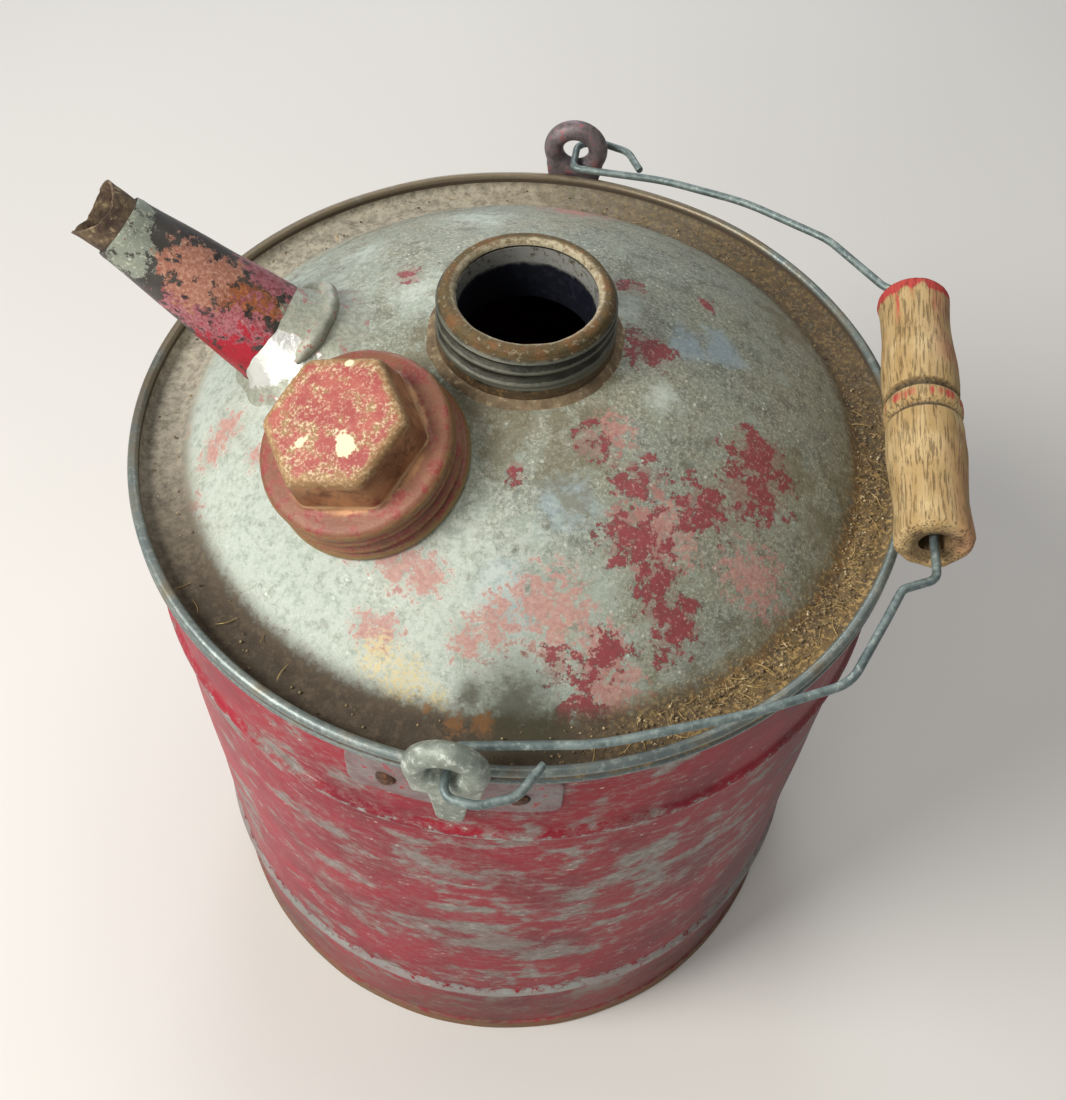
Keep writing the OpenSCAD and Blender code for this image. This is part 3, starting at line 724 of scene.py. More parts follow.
def cap_finish(colours):
    """Pressed steel cap: brick-red paint under cream specks on top, worn to brown rust on its sides, with a
    painted highlight along the foot and the top edge of the hexagon.
    """
    material, tree, where = begin("worn_cap_paint")
    fine = grain(tree, where, 1.7, 7, 0.75)
    flake = grain(tree, where, 5, 7, 0.7)
    middle = grain(tree, where, 12, 4)
    top = ragged(tree, "top", flake, 0.7, 0.15)
    edge = ragged(tree, "edge", flake, 0.8, 0.3)
    skirt = ragged(tree, "skirt", flake, 0.7, 0.25)
    # Painted highlight: a pale tan band along the foot of the hexagon's facets and along its top edge.
    bright = ragged(tree, "bright", flake, 0.6, 0.2)
    curl = ragged(tree, "curl", flake, 0.7, 0.3)
    blobs = ragged(tree, "blobs", flake, 0.7, 0.06)
    lime = grain(tree, where, 1.0, 4, 0.7)
    speckle = mask(tree, "lime", (lime, 0.1, 0.6), (flake, 0.3))
    colour = layers(
        tree, rgba("#8a5f40"),
        (mask(tree, (middle, 0.3)), rgba("#b5855e")),
        (mask(tree, (flake, 0.15, 0.62), 0.6), rgba("#553520")),
        (mask(tree, skirt, 0.8), rgba("#7a4a38")),
        (mask(tree, skirt, (flake, 0.1, 0.56)), rgba("#8a3a34")),
        (mask(tree, "crest", (fine, 0.3, 0.45)), rgba("#8d7448")),
        ("root", rgba("#3f2019")),
        (top, rgba("#9a4340")),
        (mask(tree, top, (middle, 0.3, 0.6)), rgba("#a9594e")),
        (mask(tree, top, (flake, 0.15, 0.6)), rgba("#93734c")),
        (mask(tree, edge, 0.9), rgba("#8f6f48")),
        (mask(tree, edge, (fine, 0.1, 0.6)), rgba("#b3946a")),
        (mask(tree, bright, 0.85), rgba("#c2a27c")),
        (mask(tree, curl, 0.85), rgba("#90794f")),
        (speckle, rgba("#d9c6a4")),
        (blobs, rgba(colours.cream)))
    matt = steps_of(tree, 0.4, (top, 0.6), (edge, 0.7), (blobs, 0.8))
    bare = steps_of(tree, 0.35, (top, 0.0), (edge, 0.1), (skirt, 0.1))
    end(tree, colour, matt, bare, steps_of(tree, fine, (top, 1.0), (blobs, 1.6)), 0.14)
    return material


def worn_wood(colours):
    """Turned hardwood, bare and weathered: tan, with dark open pores along the grain, dirt in the turned grooves,
    some red paint left on the far end, and painted shade in pinkish brown on its right side."""
    material, tree, where = begin("weathered_turned_wood")
    along = add(tree, "ShaderNodeMapping",
                {"Vector": where, "Rotation": (0, 0, -GRIP_SKEW), "Scale": (1, 0.07, 1)}).outputs[0]
    pores = grain(tree, along, 0.9, 5, 0.65)
    streak = grain(tree, along, 4, 4)
    patch = grain(tree, where, 16, 4)
    fine = grain(tree, where, 1.4, 5, 0.7)
    red = ragged(tree, "red", streak, 0.9, 0.15)
    groove = ragged(tree, "groove", fine, 0.4, 0.3)
    colour = layers(
        tree, rgba(colours.wood),
        (mask(tree, (streak, 0.35), 0.7), rgba("#a0814f")),
        (mask(tree, (patch, 0.25, 0.6), 0.6), rgba("#cfb78a")),
        # Painted shade: the grip's right side, away from its middle, is coloured a darker pinkish brown.
        (mask(tree, "worn", (patch, 0.4, 0.5)), rgba("#a8785a")),
        (mask(tree, (pores, 0.14, 0.68), 0.6), rgba(colours.wood_dark)),
        (mask(tree, groove, 0.85), rgba("#3b342c")),
        (red, rgba("#b0413c")),
        (mask(tree, "end", 0.7), rgba("#55432e")))
    height = add(tree, "ShaderNodeMath", {0: 1.0, 1: mask(tree, (pores, 0.15, 0.66))},
                 operation="SUBTRACT").outputs[0]
    end(tree, colour, 0.72, 0.0, height, 0.25, 0.3)
    return material


# ---------- body ----------

WALL_DENTS = (
    # direction, height, half width and depth as a share of the deepest
    (-118, 118, 34, 0.9), (-62, 92, 28, 0.7), (-88, 168, 40, 0.5), (18, 150, 36, 0.9), (52, 70, 24, 0.8),
    (104, 196, 26, 1.0), (150, 110, 38, 0.7), (-165, 84, 28, 0.9), (-146, 205, 24, 0.5), (80, 120, 30, 0.6),
)
WEAR_GROUPS = (
    # direction, height, reach in degrees and in height, number of patches
    (-120, 225, 10, 40, 5), (-90, 150, 14, 34, 8), (-62, 190, 12, 34, 8), (-80, 120, 12, 14, 3),
    (-68, 280, 10, 4, 2), (-112, 272, 8, 6, 2), (-138, 110, 8, 60, 4), (-37, 160, 6, 70, 3),
)


BACK_PATCHES = 46


def wall_radius(height, bead_out):
    """Radius of the body's outside at a height, with its two swaged beads."""
    bead = sum(np.cos(np.pi / 2 * np.clip(np.abs(height - z) * 2 / BEAD_W, 0, 1)) ** 1.4
               for z in (LOW_BEAD_Z, HIGH_BEAD_Z))
    return BODY_R + bead_out * bead


def wall_sink(angle, height, sizes):
    """How far dents and unevenness push the body's wall inwards."""
    fade = smooth_step(height, 12, 34) * (1 - smooth_step(height, 246, 266))
    around = ring_points(BODY_R + 0 * angle, angle, height)
    sink = sizes.unevenness / MM * (0.5 + wander(around, 55, 1)) * 1.2
    for heading, middle, wide, depth in WALL_DENTS:
        gap = np.hypot(angle_gap(angle, heading) * math.pi / 180 * BODY_R, height - middle) / wide
        sink = sink + sizes.dent_depth / MM * depth * np.exp(-2.2 * gap ** 2)
    return np.clip(sink, 0, 5) * fade


def wall_heights(low, high):
    """Heights to sample a wall line at: every 4 mm, and closer on the beads."""
    beads = [z + d for z in (LOW_BEAD_Z, HIGH_BEAD_Z) for d in np.linspace(-BEAD_W / 2, BEAD_W / 2, 11)]
    plain = [z for z in np.arange(low, high, 4)
             if min(abs(z - LOW_BEAD_Z), abs(z - HIGH_BEAD_Z)) > BEAD_W / 2 + 1]
    return sorted([*beads, *plain, high])


def wall_patches(seed):
    """Worn patches: in groups on the front of the can, and anywhere on the rest of it."""
    draw = np.random.default_rng(seed)
    front = [(draw.normal(angle, turn / 2), draw.normal(height, rise / 2), draw.uniform(4, 9),
              draw.uniform(4, 9))
             for angle, height, turn, rise, number in WEAR_GROUPS for _ in range(number)]
    rest = [(draw.uniform(-28, 206), draw.uniform(20, 280), draw.uniform(4, 9), draw.uniform(4, 10))
            for _ in range(BACK_PATCHES)]
    return front + rest


def mark_wall(piece):
    """Masks of the painted wall: worn patches, beads, chalky side, painted shade on the right side and low down,
    pinkish foot, rust at the edge.
    """
    x, y, z = coords(piece).T
    angle = np.degrees(np.arctan2(y, x))
    base = 0.31 + 0.22 * wander(np.stack([x, y, z * 1.6], -1), 60, 4)
    worn = patches(angle, z, wall_patches(12))
    under_rim = 0.12 * smooth_step(z, 215, 262)
    mark(piece, "wear", np.maximum(base, worn * 0.8) - under_rim)
    lower = 1 - np.abs(z - LOW_BEAD_Z - 1.5) / 7.5
    upper = 0.62 - np.abs(z - HIGH_BEAD_Z + 1) / 6
    mark(piece, "bead", np.maximum(lower * 0.85, upper))
    mark(piece, "chalk", smooth_step(angle_gap(angle, -75), 25, 75) * (1 - smooth_step(z, 150, 330)) + 0.08)
    # Painted shade: darker on the right side of the wall and towards the bottom.
    mark(piece, "shade", smooth_step(angle, -62, -18) * (1 - smooth_step(angle, 30, 80)) * 0.9
         + 0.3 * (1 - smooth_step(z, 60, 160)))
    mark(piece, "foot", 0.62 * (1 - smooth_step(z, 30, 62)))
    mark(piece, "rust", 1 - smooth_step(z, 1, 14) * 0.95)


class CAN_OT_body(bpy.types.Operator):
    """Builds the painted body wall, its side seam, the bottom pan and the folded hoop"""

    bl_idname = "can.body"
    bl_label = "Body"

    def execute(self, context):
        sizes = context.scene.can_sizes
        paint = scraped_paint(context.scene.can_colours)
        bead_out = sizes.bead_out / MM

        def dented(radius, angle, height):
            """The wall's beads and dents, the same on both faces of the sheet."""
            inset = BODY_R - radius
            return wall_radius(height, bead_out) - inset - wall_sink(angle, height, sizes), height

        outside = [(BODY_R, z) for z in wall_heights(WALL_LOW, UPSTAND_TOP)]
        inside = [(BODY_IN, z) for z in reversed(wall_heights(WALL_LOW, UPSTAND_TOP))]
        shell = lathe("body_wall", outside + inside, steps=288, shape=dented)
        mark_wall(shell)
        keep_piece(shell, paint, "can", "shell_paint", "body_shell")

        seam_w = math.degrees(SEAM_WIDTH / BODY_R)
        top = RIM_LOW - 1
        out = [(BODY_R + SHEET, z) for z in wall_heights(HOOP_TOP + 1, top)]
        back = [(BODY_R + 0.02, z) for z in reversed(wall_heights(HOOP_TOP + 1, top))]

        def folded(radius, angle, height):
            """The seam rides over the wall's beads and is thinned at its free edge."""
            lift = (radius - BODY_R) * (1 - 0.6 * smooth_step(
                angle, SEAM_ANGLE + seam_w * 0.8, SEAM_ANGLE + seam_w))
            return wall_radius(height, bead_out) + lift - wall_sink(angle, height, sizes), height

        seam = lathe("side_seam_fold", out + back, steps=10, start=SEAM_ANGLE, sweep=seam_w, shape=folded)
        mark_wall(seam)
        keep_piece(seam, paint, "can", "shell_paint", "side_seam")

        hoop_line = [
            (BODY_IN - 0.9, WALL_LOW), (BODY_IN - 0.9, 1), (BODY_IN - 0.4, 0.3), (BODY_IN, 0),
            (BODY_R + 0.6, 0), (BODY_R + 1.2, 0.4), (BODY_R + 1.5, 1.2), (BODY_R + 1.1, 3),
            (BODY_R + 0.9, 5.4), (BODY_R + 1.3, 7.2), (BODY_R + 1.1, HOOP_TOP - 0.5), (BODY_R, HOOP_TOP),
            (BODY_R, WALL_LOW)]

        def knocked(radius, angle, height):
            wave = wander(ring_points(radius, angle, height), 26, 9)
            return radius + np.where(radius > BODY_R + 0.1, 0.3 * wave - 0.2, 0), height

        hoop = lathe("bottom_hoop_fold", hoop_line, steps=288, shape=knocked)
        mark_wall(hoop)
        keep_piece(hoop, paint, "can", "shell_paint", "bottom_hoop")

        pan_z = 6
        skin = [(0, 2.4), (40, 2.4), (80, 2.4), (110, 2.4), (112, 2.2), (114, 1.8), (116, 1.2), (118, 0.9),
                (126, 0.9), (BODY_IN - 4, 0.9), (BODY_IN - 2.6, 0.4), (BODY_IN - 1.3, -0.6),
                (BODY_IN - 0.9, -1.6), (BODY_IN - 0.9, WALL_LOW - pan_z)]
        lower_side = [(r, pan_z + h) for r, h in skin]
        upper_side = [(r + (SHEET if r > BODY_IN - 1.2 else 0.1), pan_z + h + 0.9) for r, h in skin[:-1]]
        rim_point = [(BODY_IN - 0.02, WALL_LOW)]
        pan = lathe("bottom_pan_sheet", lower_side + rim_point + upper_side[::-1], steps=144)
        # Bare galvanised sheet that has stood on damp ground: dull grey with specks of tan dirt.
        ground_zinc = mottled("weathered_zinc_bottom", "#6f7772", "#8d948c", 0.5, 0.4, 5, "#7a6a50")
        keep_piece(pan, ground_zinc, "can", "zinc_sheet", "bottom_pan")
        return {"FINISHED"}


# ---------- domed top ----------

# Groups of spots on the dome: x, y, reach, number of spots and their mean radius.
PAINT_GROUPS = (
    (45, 0, 9, 3, 6), (30, -40, 9, 3, 5), (88, -36, 14, 5, 7), (50, -68, 18, 6, 5.5), (60, -85, 16, 4, 4.5),
    (42, -110, 18, 5, 4), (35, 35, 5, 2, 3), (-42, 25, 10, 2, 3), (62, 40, 2, 1, 3), (5, -55, 3, 1, 3),
)
PINK_GROUPS = (
    (45, -108, 16, 4, 8), (-30, -92, 30, 8, 4.5), (-100, -45, 28, 5, 4), (15, 105, 14, 2, 8),
    (80, -60, 28, 3, 8), (8, -92, 18, 4, 5), (30, -35, 6, 1, 8),
)
PALE_GROUPS = (
    (-50, -108, 30, 5, 13), (-98, -60, 34, 4, 13), (-55, -72, 28, 4, 13), (-30, 45, 50, 4, 11),
    (55, 5, 50, 3, 8), (0, -75, 5, 1, 9),
)
BLUE_GROUPS = ((10, -88, 10, 2, 6), (65, 12, 26, 3, 6), (-45, -5, 60, 2, 7))
DIRT_GROUPS = (
    (10, -34, 24, 8, 8), (116, -20, 24, 4, 9), (35, -52, 14, 3, 7), (-75, 95, 36, 2, 11),
    (100, 60, 5, 1, 8), (-30, -8, 16, 2, 7), (92, -86, 5, 1, 9),
)
DOME_DENTS = (
    # x, y, width and depth as a share of the deepest
    (92, 40, 22, 0.8), (58, 78, 20, 0.9), (-30, 92, 22, 0.7), (70, -80, 18, 0.8), (-90, 30, 16, 0.8),
    (-68, -90, 18, 0.6), (20, -102, 16, 0.7), (104, -20, 16, 0.7),
)
DOME_STAINS = ((17, -121, 11), (2, -119, 4), (26, -124, 8))
DOME_YELLOW = ((-20, -118, 6), (-30, -112, 5), (-8, -122, 3))
DOME_RUST = ((-12, -124, 1.4), (7, -126, 3), (-2, -127, 3))


def scattered(groups, seed):
    """Spots (x, y, radius) drawn around the groups' middles."""
    draw = np.random.default_rng(seed)
    return [(draw.normal(x, reach / 2), draw.normal(y, reach / 2), radius * draw.uniform(0.6, 1.3))
            for x, y, reach, number, radius in groups for _ in range(number)]


def dome_rest(x, y):
    """1 where the dome may wander, 0 where neck, spout and cap sit on it."""
    cap = CAP_AXIS * DOME_R
    clear = smooth_step(np.hypot(x, y), 36, 48)
    clear = clear * smooth_step(np.hypot(x - SPOUT_FOOT.x, y), 32, 44)
    return clear * smooth_step(np.hypot(x - cap.x, y - cap.y), 37, 46)


class CAN_OT_top(bpy.types.Operator):
    """Builds the domed top with its gutter, and the rolled rim that joins it to the body"""

    bl_idname = "can.top"
    bl_label = "Domed top and rim"

    def execute(self, context):
        sizes = context.scene.can_sizes
        colours = context.scene.can_colours

        def skin(lift, fineness):
            inner = math.degrees(math.asin(NECK_HOLE_R / (DOME_R - lift)))
            return (arc(0, DOME_C, DOME_R - lift, inner, FOLD_ANGLE, fineness)
                    + arc(FOLD_X, FOLD_Z, GUTTER_FOLD + lift, FOLD_ANGLE + 180, 180, 8)
                    + arc(RIM_IN - WALL_FOLD, GUTTER_Z + WALL_FOLD, WALL_FOLD + lift, 180, 90, 6))

        def uneven(radius, angle, height):
            """Hammered wander and dents, inwards only, and none where other pieces sit."""
            at = ring_points(radius, angle, height)
            x, y = at[..., 0], at[..., 1]
            sink = sizes.unevenness / MM * np.clip(0.55 + 0.9 * wander(at, 34, 3), 0, 1.4)
            for px, py, wide, depth in DOME_DENTS:
                gap = np.hypot(x - px, y - py) / wide
                sink = sink + 0.9 * depth * np.exp(-2.5 * gap ** 2)
            sink = sink * dome_rest(x, y) * (1 - smooth_step(radius, FOLD_X - 9, FOLD_X - 2))
            return radius * (1 - sink / DOME_R), height - sink * (height - DOME_C) / DOME_R

        upstand = [(RIM_IN, UPSTAND_TOP), (RIM_IN + SHEET - 0.02, UPSTAND_TOP)]
        top = lathe("domed_top_sheet", skin(0, 84) + upstand + skin(SHEET, 40)[::-1], steps=320,
                    shape=uneven)
        drill = lathe("spout_hole_drill", [(0, -30), (SPOUT_FOOT_R - 4.6, -30), (SPOUT_FOOT_R - 4.6, 30),
                                           (0, 30)], SPOUT_FRAME, 64)
        cut = top.modifiers.new("Spout hole", "BOOLEAN")
        cut.object = drill
        cut.operation = "DIFFERENCE"
        cut.solver = "EXACT"
        apply_modifiers(top)
        bpy.data.objects.remove(drill)

        x, y, z = coords(top).T
        out = np.hypot(x, y)
        angle = np.degrees(np.arctan2(y, x))
        mark(top, "paint", spots(x, y, scattered(PAINT_GROUPS, 1)))
        mark(top, "pink", spots(x, y, scattered(PINK_GROUPS, 2)))
        # Painted highlight: the shoulder term makes the dome's left-front shoulder paler; the pale spots are
        # oxide.
        shoulder = smooth_step(out, 35, 95) * (1 - smooth_step(angle_gap(angle, -142), 45, 105))
        mark(top, "bloom", np.maximum(spots(x, y, scattered(PALE_GROUPS, 3)) * 0.85, shoulder * 0.62 + 0.16))
        mark(top, "blue", spots(x, y, scattered(BLUE_GROUPS, 4)))
        foot = smooth_step(out, 112, 126) * (1 - smooth_step(angle_gap(angle, -25), 30, 60)) * 0.6
        mark(top, "dirt", np.maximum.reduce([spots(x, y, scattered(DIRT_GROUPS, 5)), foot,
                                             0.75 - (out - NECK_R) / 14]))
        # Painted shade and dirt: the gutter is marked dark all round, a little more on the left-front side.
        dark_side = 1 - smooth_step(angle_gap(angle, -140), 50, 90)
        mark(top, "gutter", smooth_step(out, 117, 129) * (0.85 + 0.15 * dark_side))
        mark(top, "gold", 0.75 * (1 - smooth_step(angle_gap(angle, -28), 18, 52))
             + 0.3 * (1 - smooth_step(angle_gap(angle, 50), 20, 80)))
        mark(top, "tan", 1 - smooth_step(angle_gap(angle, 140), 30, 90))
        mark(top, "stain", spots(x, y, DOME_STAINS))
        mark(top, "yellow", spots(x, y, DOME_YELLOW))
        gutter_line = 0.4 * (1 - smooth_step(np.abs(out - 127), 1, 4))
        near = 1 - smooth_step(angle_gap(angle, -20), 20, 50)
        mark(top, "rust", np.maximum(spots(x, y, DOME_RUST), gutter_line * near))
        keep_piece(top, galvanised_top(colours), "can", "zinc_sheet", "domed_top")

        roll = (RIM_R - RIM_IN) / 2
        lower = 1.15
        rim_line = (
            [(RIM_IN, UPSTAND_TOP)] + arc(RIM_R - roll, RIM_TOP - roll, roll, -90, 128, 18)
            + [(RIM_R - 1.3, RIM_LOW + 4.4), (RIM_R - 1.6, RIM_LOW + 3.6), (RIM_R - 1.6, RIM_LOW + 2.9)]
            + arc(RIM_R - lower, RIM_LOW + lower, lower, 20, 180, 8)
            + [(BODY_R + 0.02, RIM_LOW + 0.1), (BODY_R + 0.02, UPSTAND_TOP)])

        def rolled(radius, angle, height):
            """The groove under the roll is deep at the right front, and nearly closed elsewhere."""
            deep = 0.15 + 0.85 * (1 - smooth_step(angle_gap(angle, -45), 28, 52))
            in_groove = np.exp(-((height - RIM_LOW - 3.4) / 1.5) ** 2) * (radius > BODY_R + 0.3)
            filled = radius + in_groove * (1 - deep) * 0.9
            wave = wander(ring_points(radius * 0 + 145, angle, height * 0), 42, 6)
            lifted = smooth_step(height, UPSTAND_TOP, RIM_TOP)
            return filled - 0.1 * lifted * (1 + wave), height - 0.35 * lifted * (0.6 + wave)

        rim = lathe("rim_roll", rim_line, steps=360, shape=rolled)
        x, y, z = coords(rim).T
        angle = np.degrees(np.arctan2(y, x))
        # Painted shade in the groove under the roll and on the inner face of the rim.
        mark(rim, "groove", np.exp(-((z - RIM_LOW - 3.6) / 1.3) ** 2)
             + (np.hypot(x, y) < RIM_IN + 0.5) * (z < RIM_TOP - 1.8) * 0.7)
        mark(rim, "gold", 1 - smooth_step(angle_gap(angle, -35), 30, 60))
        mark(rim, "tan", 0.3 + 0.6 * (1 - smooth_step(angle_gap(angle, 120), 30, 100)))
        keep_piece(rim, rolled_zinc(), "can", "zinc_sheet", "rolled_rim", sharp=60)
        return {"FINISHED"}


# ---------- filler neck ----------

def thread_sink(angle, height, low, high, pitch, depth):
    """Depth of a rolled right-hand thread below its crest, fading out at both ends."""
    turns = (height - low) / pitch - angle / 360
    inside = smooth_step(height, low, low + 1.6) * (1 - smooth_step(height, high - 1.6, high))
    return depth * (0.5 + 0.5 * np.cos(2 * np.pi * turns)) ** 0.8 * inside


class CAN_OT_neck(bpy.types.Operator):
    """Builds the threaded filler neck, the sleeve inside it and the solder at its foot"""

    bl_idname = "can.neck"
    bl_label = "Filler neck"

    def execute(self, context):
        sizes = context.scene.can_sizes
        thread_top = COLLAR_TOP + 2.1 * THREAD_PITCH
        lip_r = NECK_R - 1.9
        outside = (line((NECK_HOLE_R - 0.02, NECK_LOW), (NECK_HOLE_R - 0.02, COLLAR_LOW), 6)
                   + [(NECK_R - 0.35, COLLAR_LOW + 0.25), (NECK_R, COLLAR_LOW + 0.9)]
                   + line((NECK_R, COLLAR_LOW + 1.6), (NECK_R, COLLAR_TOP), 6)
                   + line((NECK_R, COLLAR_TOP), (NECK_R - 0.4, thread_top), 44))
        lip = arc(lip_r - 2.6, NECK_TOP - 2.6, 2.6, 88, -88, 18)
        inside = [(r - SHEET - (0.5 if z > COLLAR_TOP else 0), z) for r, z in outside[::-1]]

        def threaded(radius, angle, height):
            sink = thread_sink(angle, height, COLLAR_TOP, thread_top, THREAD_PITCH, sizes.thread_depth / MM)
            on_lip = smooth_step(height, NECK_TOP - 4, NECK_TOP - 1)
            dull = wander(ring_points(radius, angle, height), 5, 8) * on_lip
            return radius - sink + 0.16 * dull, height - 0.25 * on_lip * (0.6 + dull)

        neck = lathe("filler_neck_pressing", outside + lip + inside, steps=256, shape=threaded)
        x, y, z = coords(neck).T
        out = np.hypot(x, y)
        mark(neck, "lip", smooth_step(z, NECK_TOP - 4.6, NECK_TOP - 2.2))
        mark(neck, "worn", (1 - smooth_step(out, MOUTH_R + 1.2, MOUTH_R + 2.6)) * (z > NECK_TOP - 3))
        # Painted highlight along the thread's crests.
        mark(neck, "crest", smooth_step(out, NECK_R - 1.1, NECK_R - 0.3) * (z > COLLAR_TOP))
        mark(neck, "foot", 1 - smooth_step(z, COLLAR_TOP - 2.5, COLLAR_TOP + 1.5))
        keep_piece(neck, rusty_neck(context.scene.can_colours), "can", "rusty_neck", "filler_neck")

        wall = 0.7
        sleeve_line = (line((MOUTH_R, SLEEVE_LOW), (MOUTH_R, SLEEVE_TOP), 10)
                       + [(MOUTH_R + 0.1, SLEEVE_TOP), (MOUTH_R + wall, SLEEVE_TOP - 0.1)]
                       + line((MOUTH_R + wall, SLEEVE_TOP - 0.2), (MOUTH_R + wall, SLEEVE_LOW), 6))
        sleeve = lathe("neck_sleeve_tube", sleeve_line[::-1], steps=160)
        z = coords(sleeve)[:, 2]
        # Below the mouth band the sleeve is coloured blue-black, painted shade of the neck's inside.
        mark(sleeve, "mouth", smooth_step(z, SLEEVE_TOP - 8, SLEEVE_TOP - 5))
        keep_piece(sleeve, tinned_sleeve(), "can", "sleeve_steel", "neck_sleeve")

        def foot_z(radius):
            return DOME_C + np.sqrt(DOME_R ** 2 - radius ** 2)

        fillet = [(NECK_HOLE_R, foot_z(NECK_HOLE_R)), (NECK_R + 1.6, foot_z(NECK_R + 1.6)),
                  (NECK_R + 3.2, foot_z(NECK_R + 3.2) + 0.02), (NECK_R + 2.3, foot_z(NECK_R + 2.3) + 0.35),
                  (NECK_R + 1.4, foot_z(NECK_R) + 0.5), (NECK_R + 0.7, COLLAR_LOW + 0.2),
                  (NECK_R - 0.1, COLLAR_LOW + 0.9), (NECK_HOLE_R, COLLAR_LOW + 0.4)]

        def run_out(radius, angle, height):
            spread = smooth_step(radius, NECK_R + 1, NECK_R + 3) * wander(
                ring_points(radius, angle, height * 0), 9, 2)
            moved = radius + 0.7 * spread
            return moved, np.where(spread == 0, height, height + foot_z(moved) - foot_z(radius))

        solder = lathe("neck_solder_bead", fillet, steps=192, shape=run_out)
        # Solder under old fuel and dust: matt tan brown.
        tan = mottled("dirty_solder", "#5e4e38", "#86745a", 0.75, 0.1, 3, "#a39272", 0.2)
        keep_piece(solder, tan, "can", "solder", "neck_solder")
        return {"FINISHED"}


# ---------- spout ----------

SPOUT_MARKS = {
    # distance along the spout, angle about it from its upper side, radius
    "primer": ((45, -30, 9), (39, -52, 8), (34, -12, 6)),
    "paint": ((38, -84, 10), (22, -72, 12), (20, 22, 11), (32, 150, 14), (52, 120, 9), (20, 90, 10)),
    "rust": ((27, -32, 9), (20, -20, 8), (60, 170, 8)),
    "vivid": ((15, -102, 11), (9, -90, 8)),
    "pale": ((67, -50, 9), (61, -85, 7), (10, -15, 5), (68, 20, 4)),
}


def spout_radius(along):
    """Outer radius of the spout at a distance along it."""
    return SPOUT_FOOT_R - (SPOUT_FOOT_R - SPOUT_END_R) * along / SPOUT_LEN


def spout_dome(angle, grow=0.0):
    """Distance along the spout's axis at which its surface leaves the dome, for each angle."""
    low = np.full(angle.shape, -16.0)
    high = np.full(angle.shape, 30.0)
    centre = SPOUT_FRAME.inverted() @ Vector((0, 0, DOME_C))
    for _ in range(30):
        middle = (low + high) / 2
        at = ring_points(spout_radius(middle) + grow, angle, middle)
        inside = np.linalg.norm(at - np.array(centre), axis=-1) < DOME_R
        low = np.where(inside, middle, low)
        high = np.where(inside, high, middle)
    return low


def foot_line(angle):
    """Distance along the spout's axis to which solder and collar rise around its foot."""
    known = (-180, -130, -98, -70, -41, 0, 49, 90, 130)
    rise = (-6, 3, 10.5, 11, 10.5, 11, 8.5, 3, -3)
    return sum(np.interp(angle + lag, known, rise, period=360) for lag in range(-16, 17, 4)) / 9


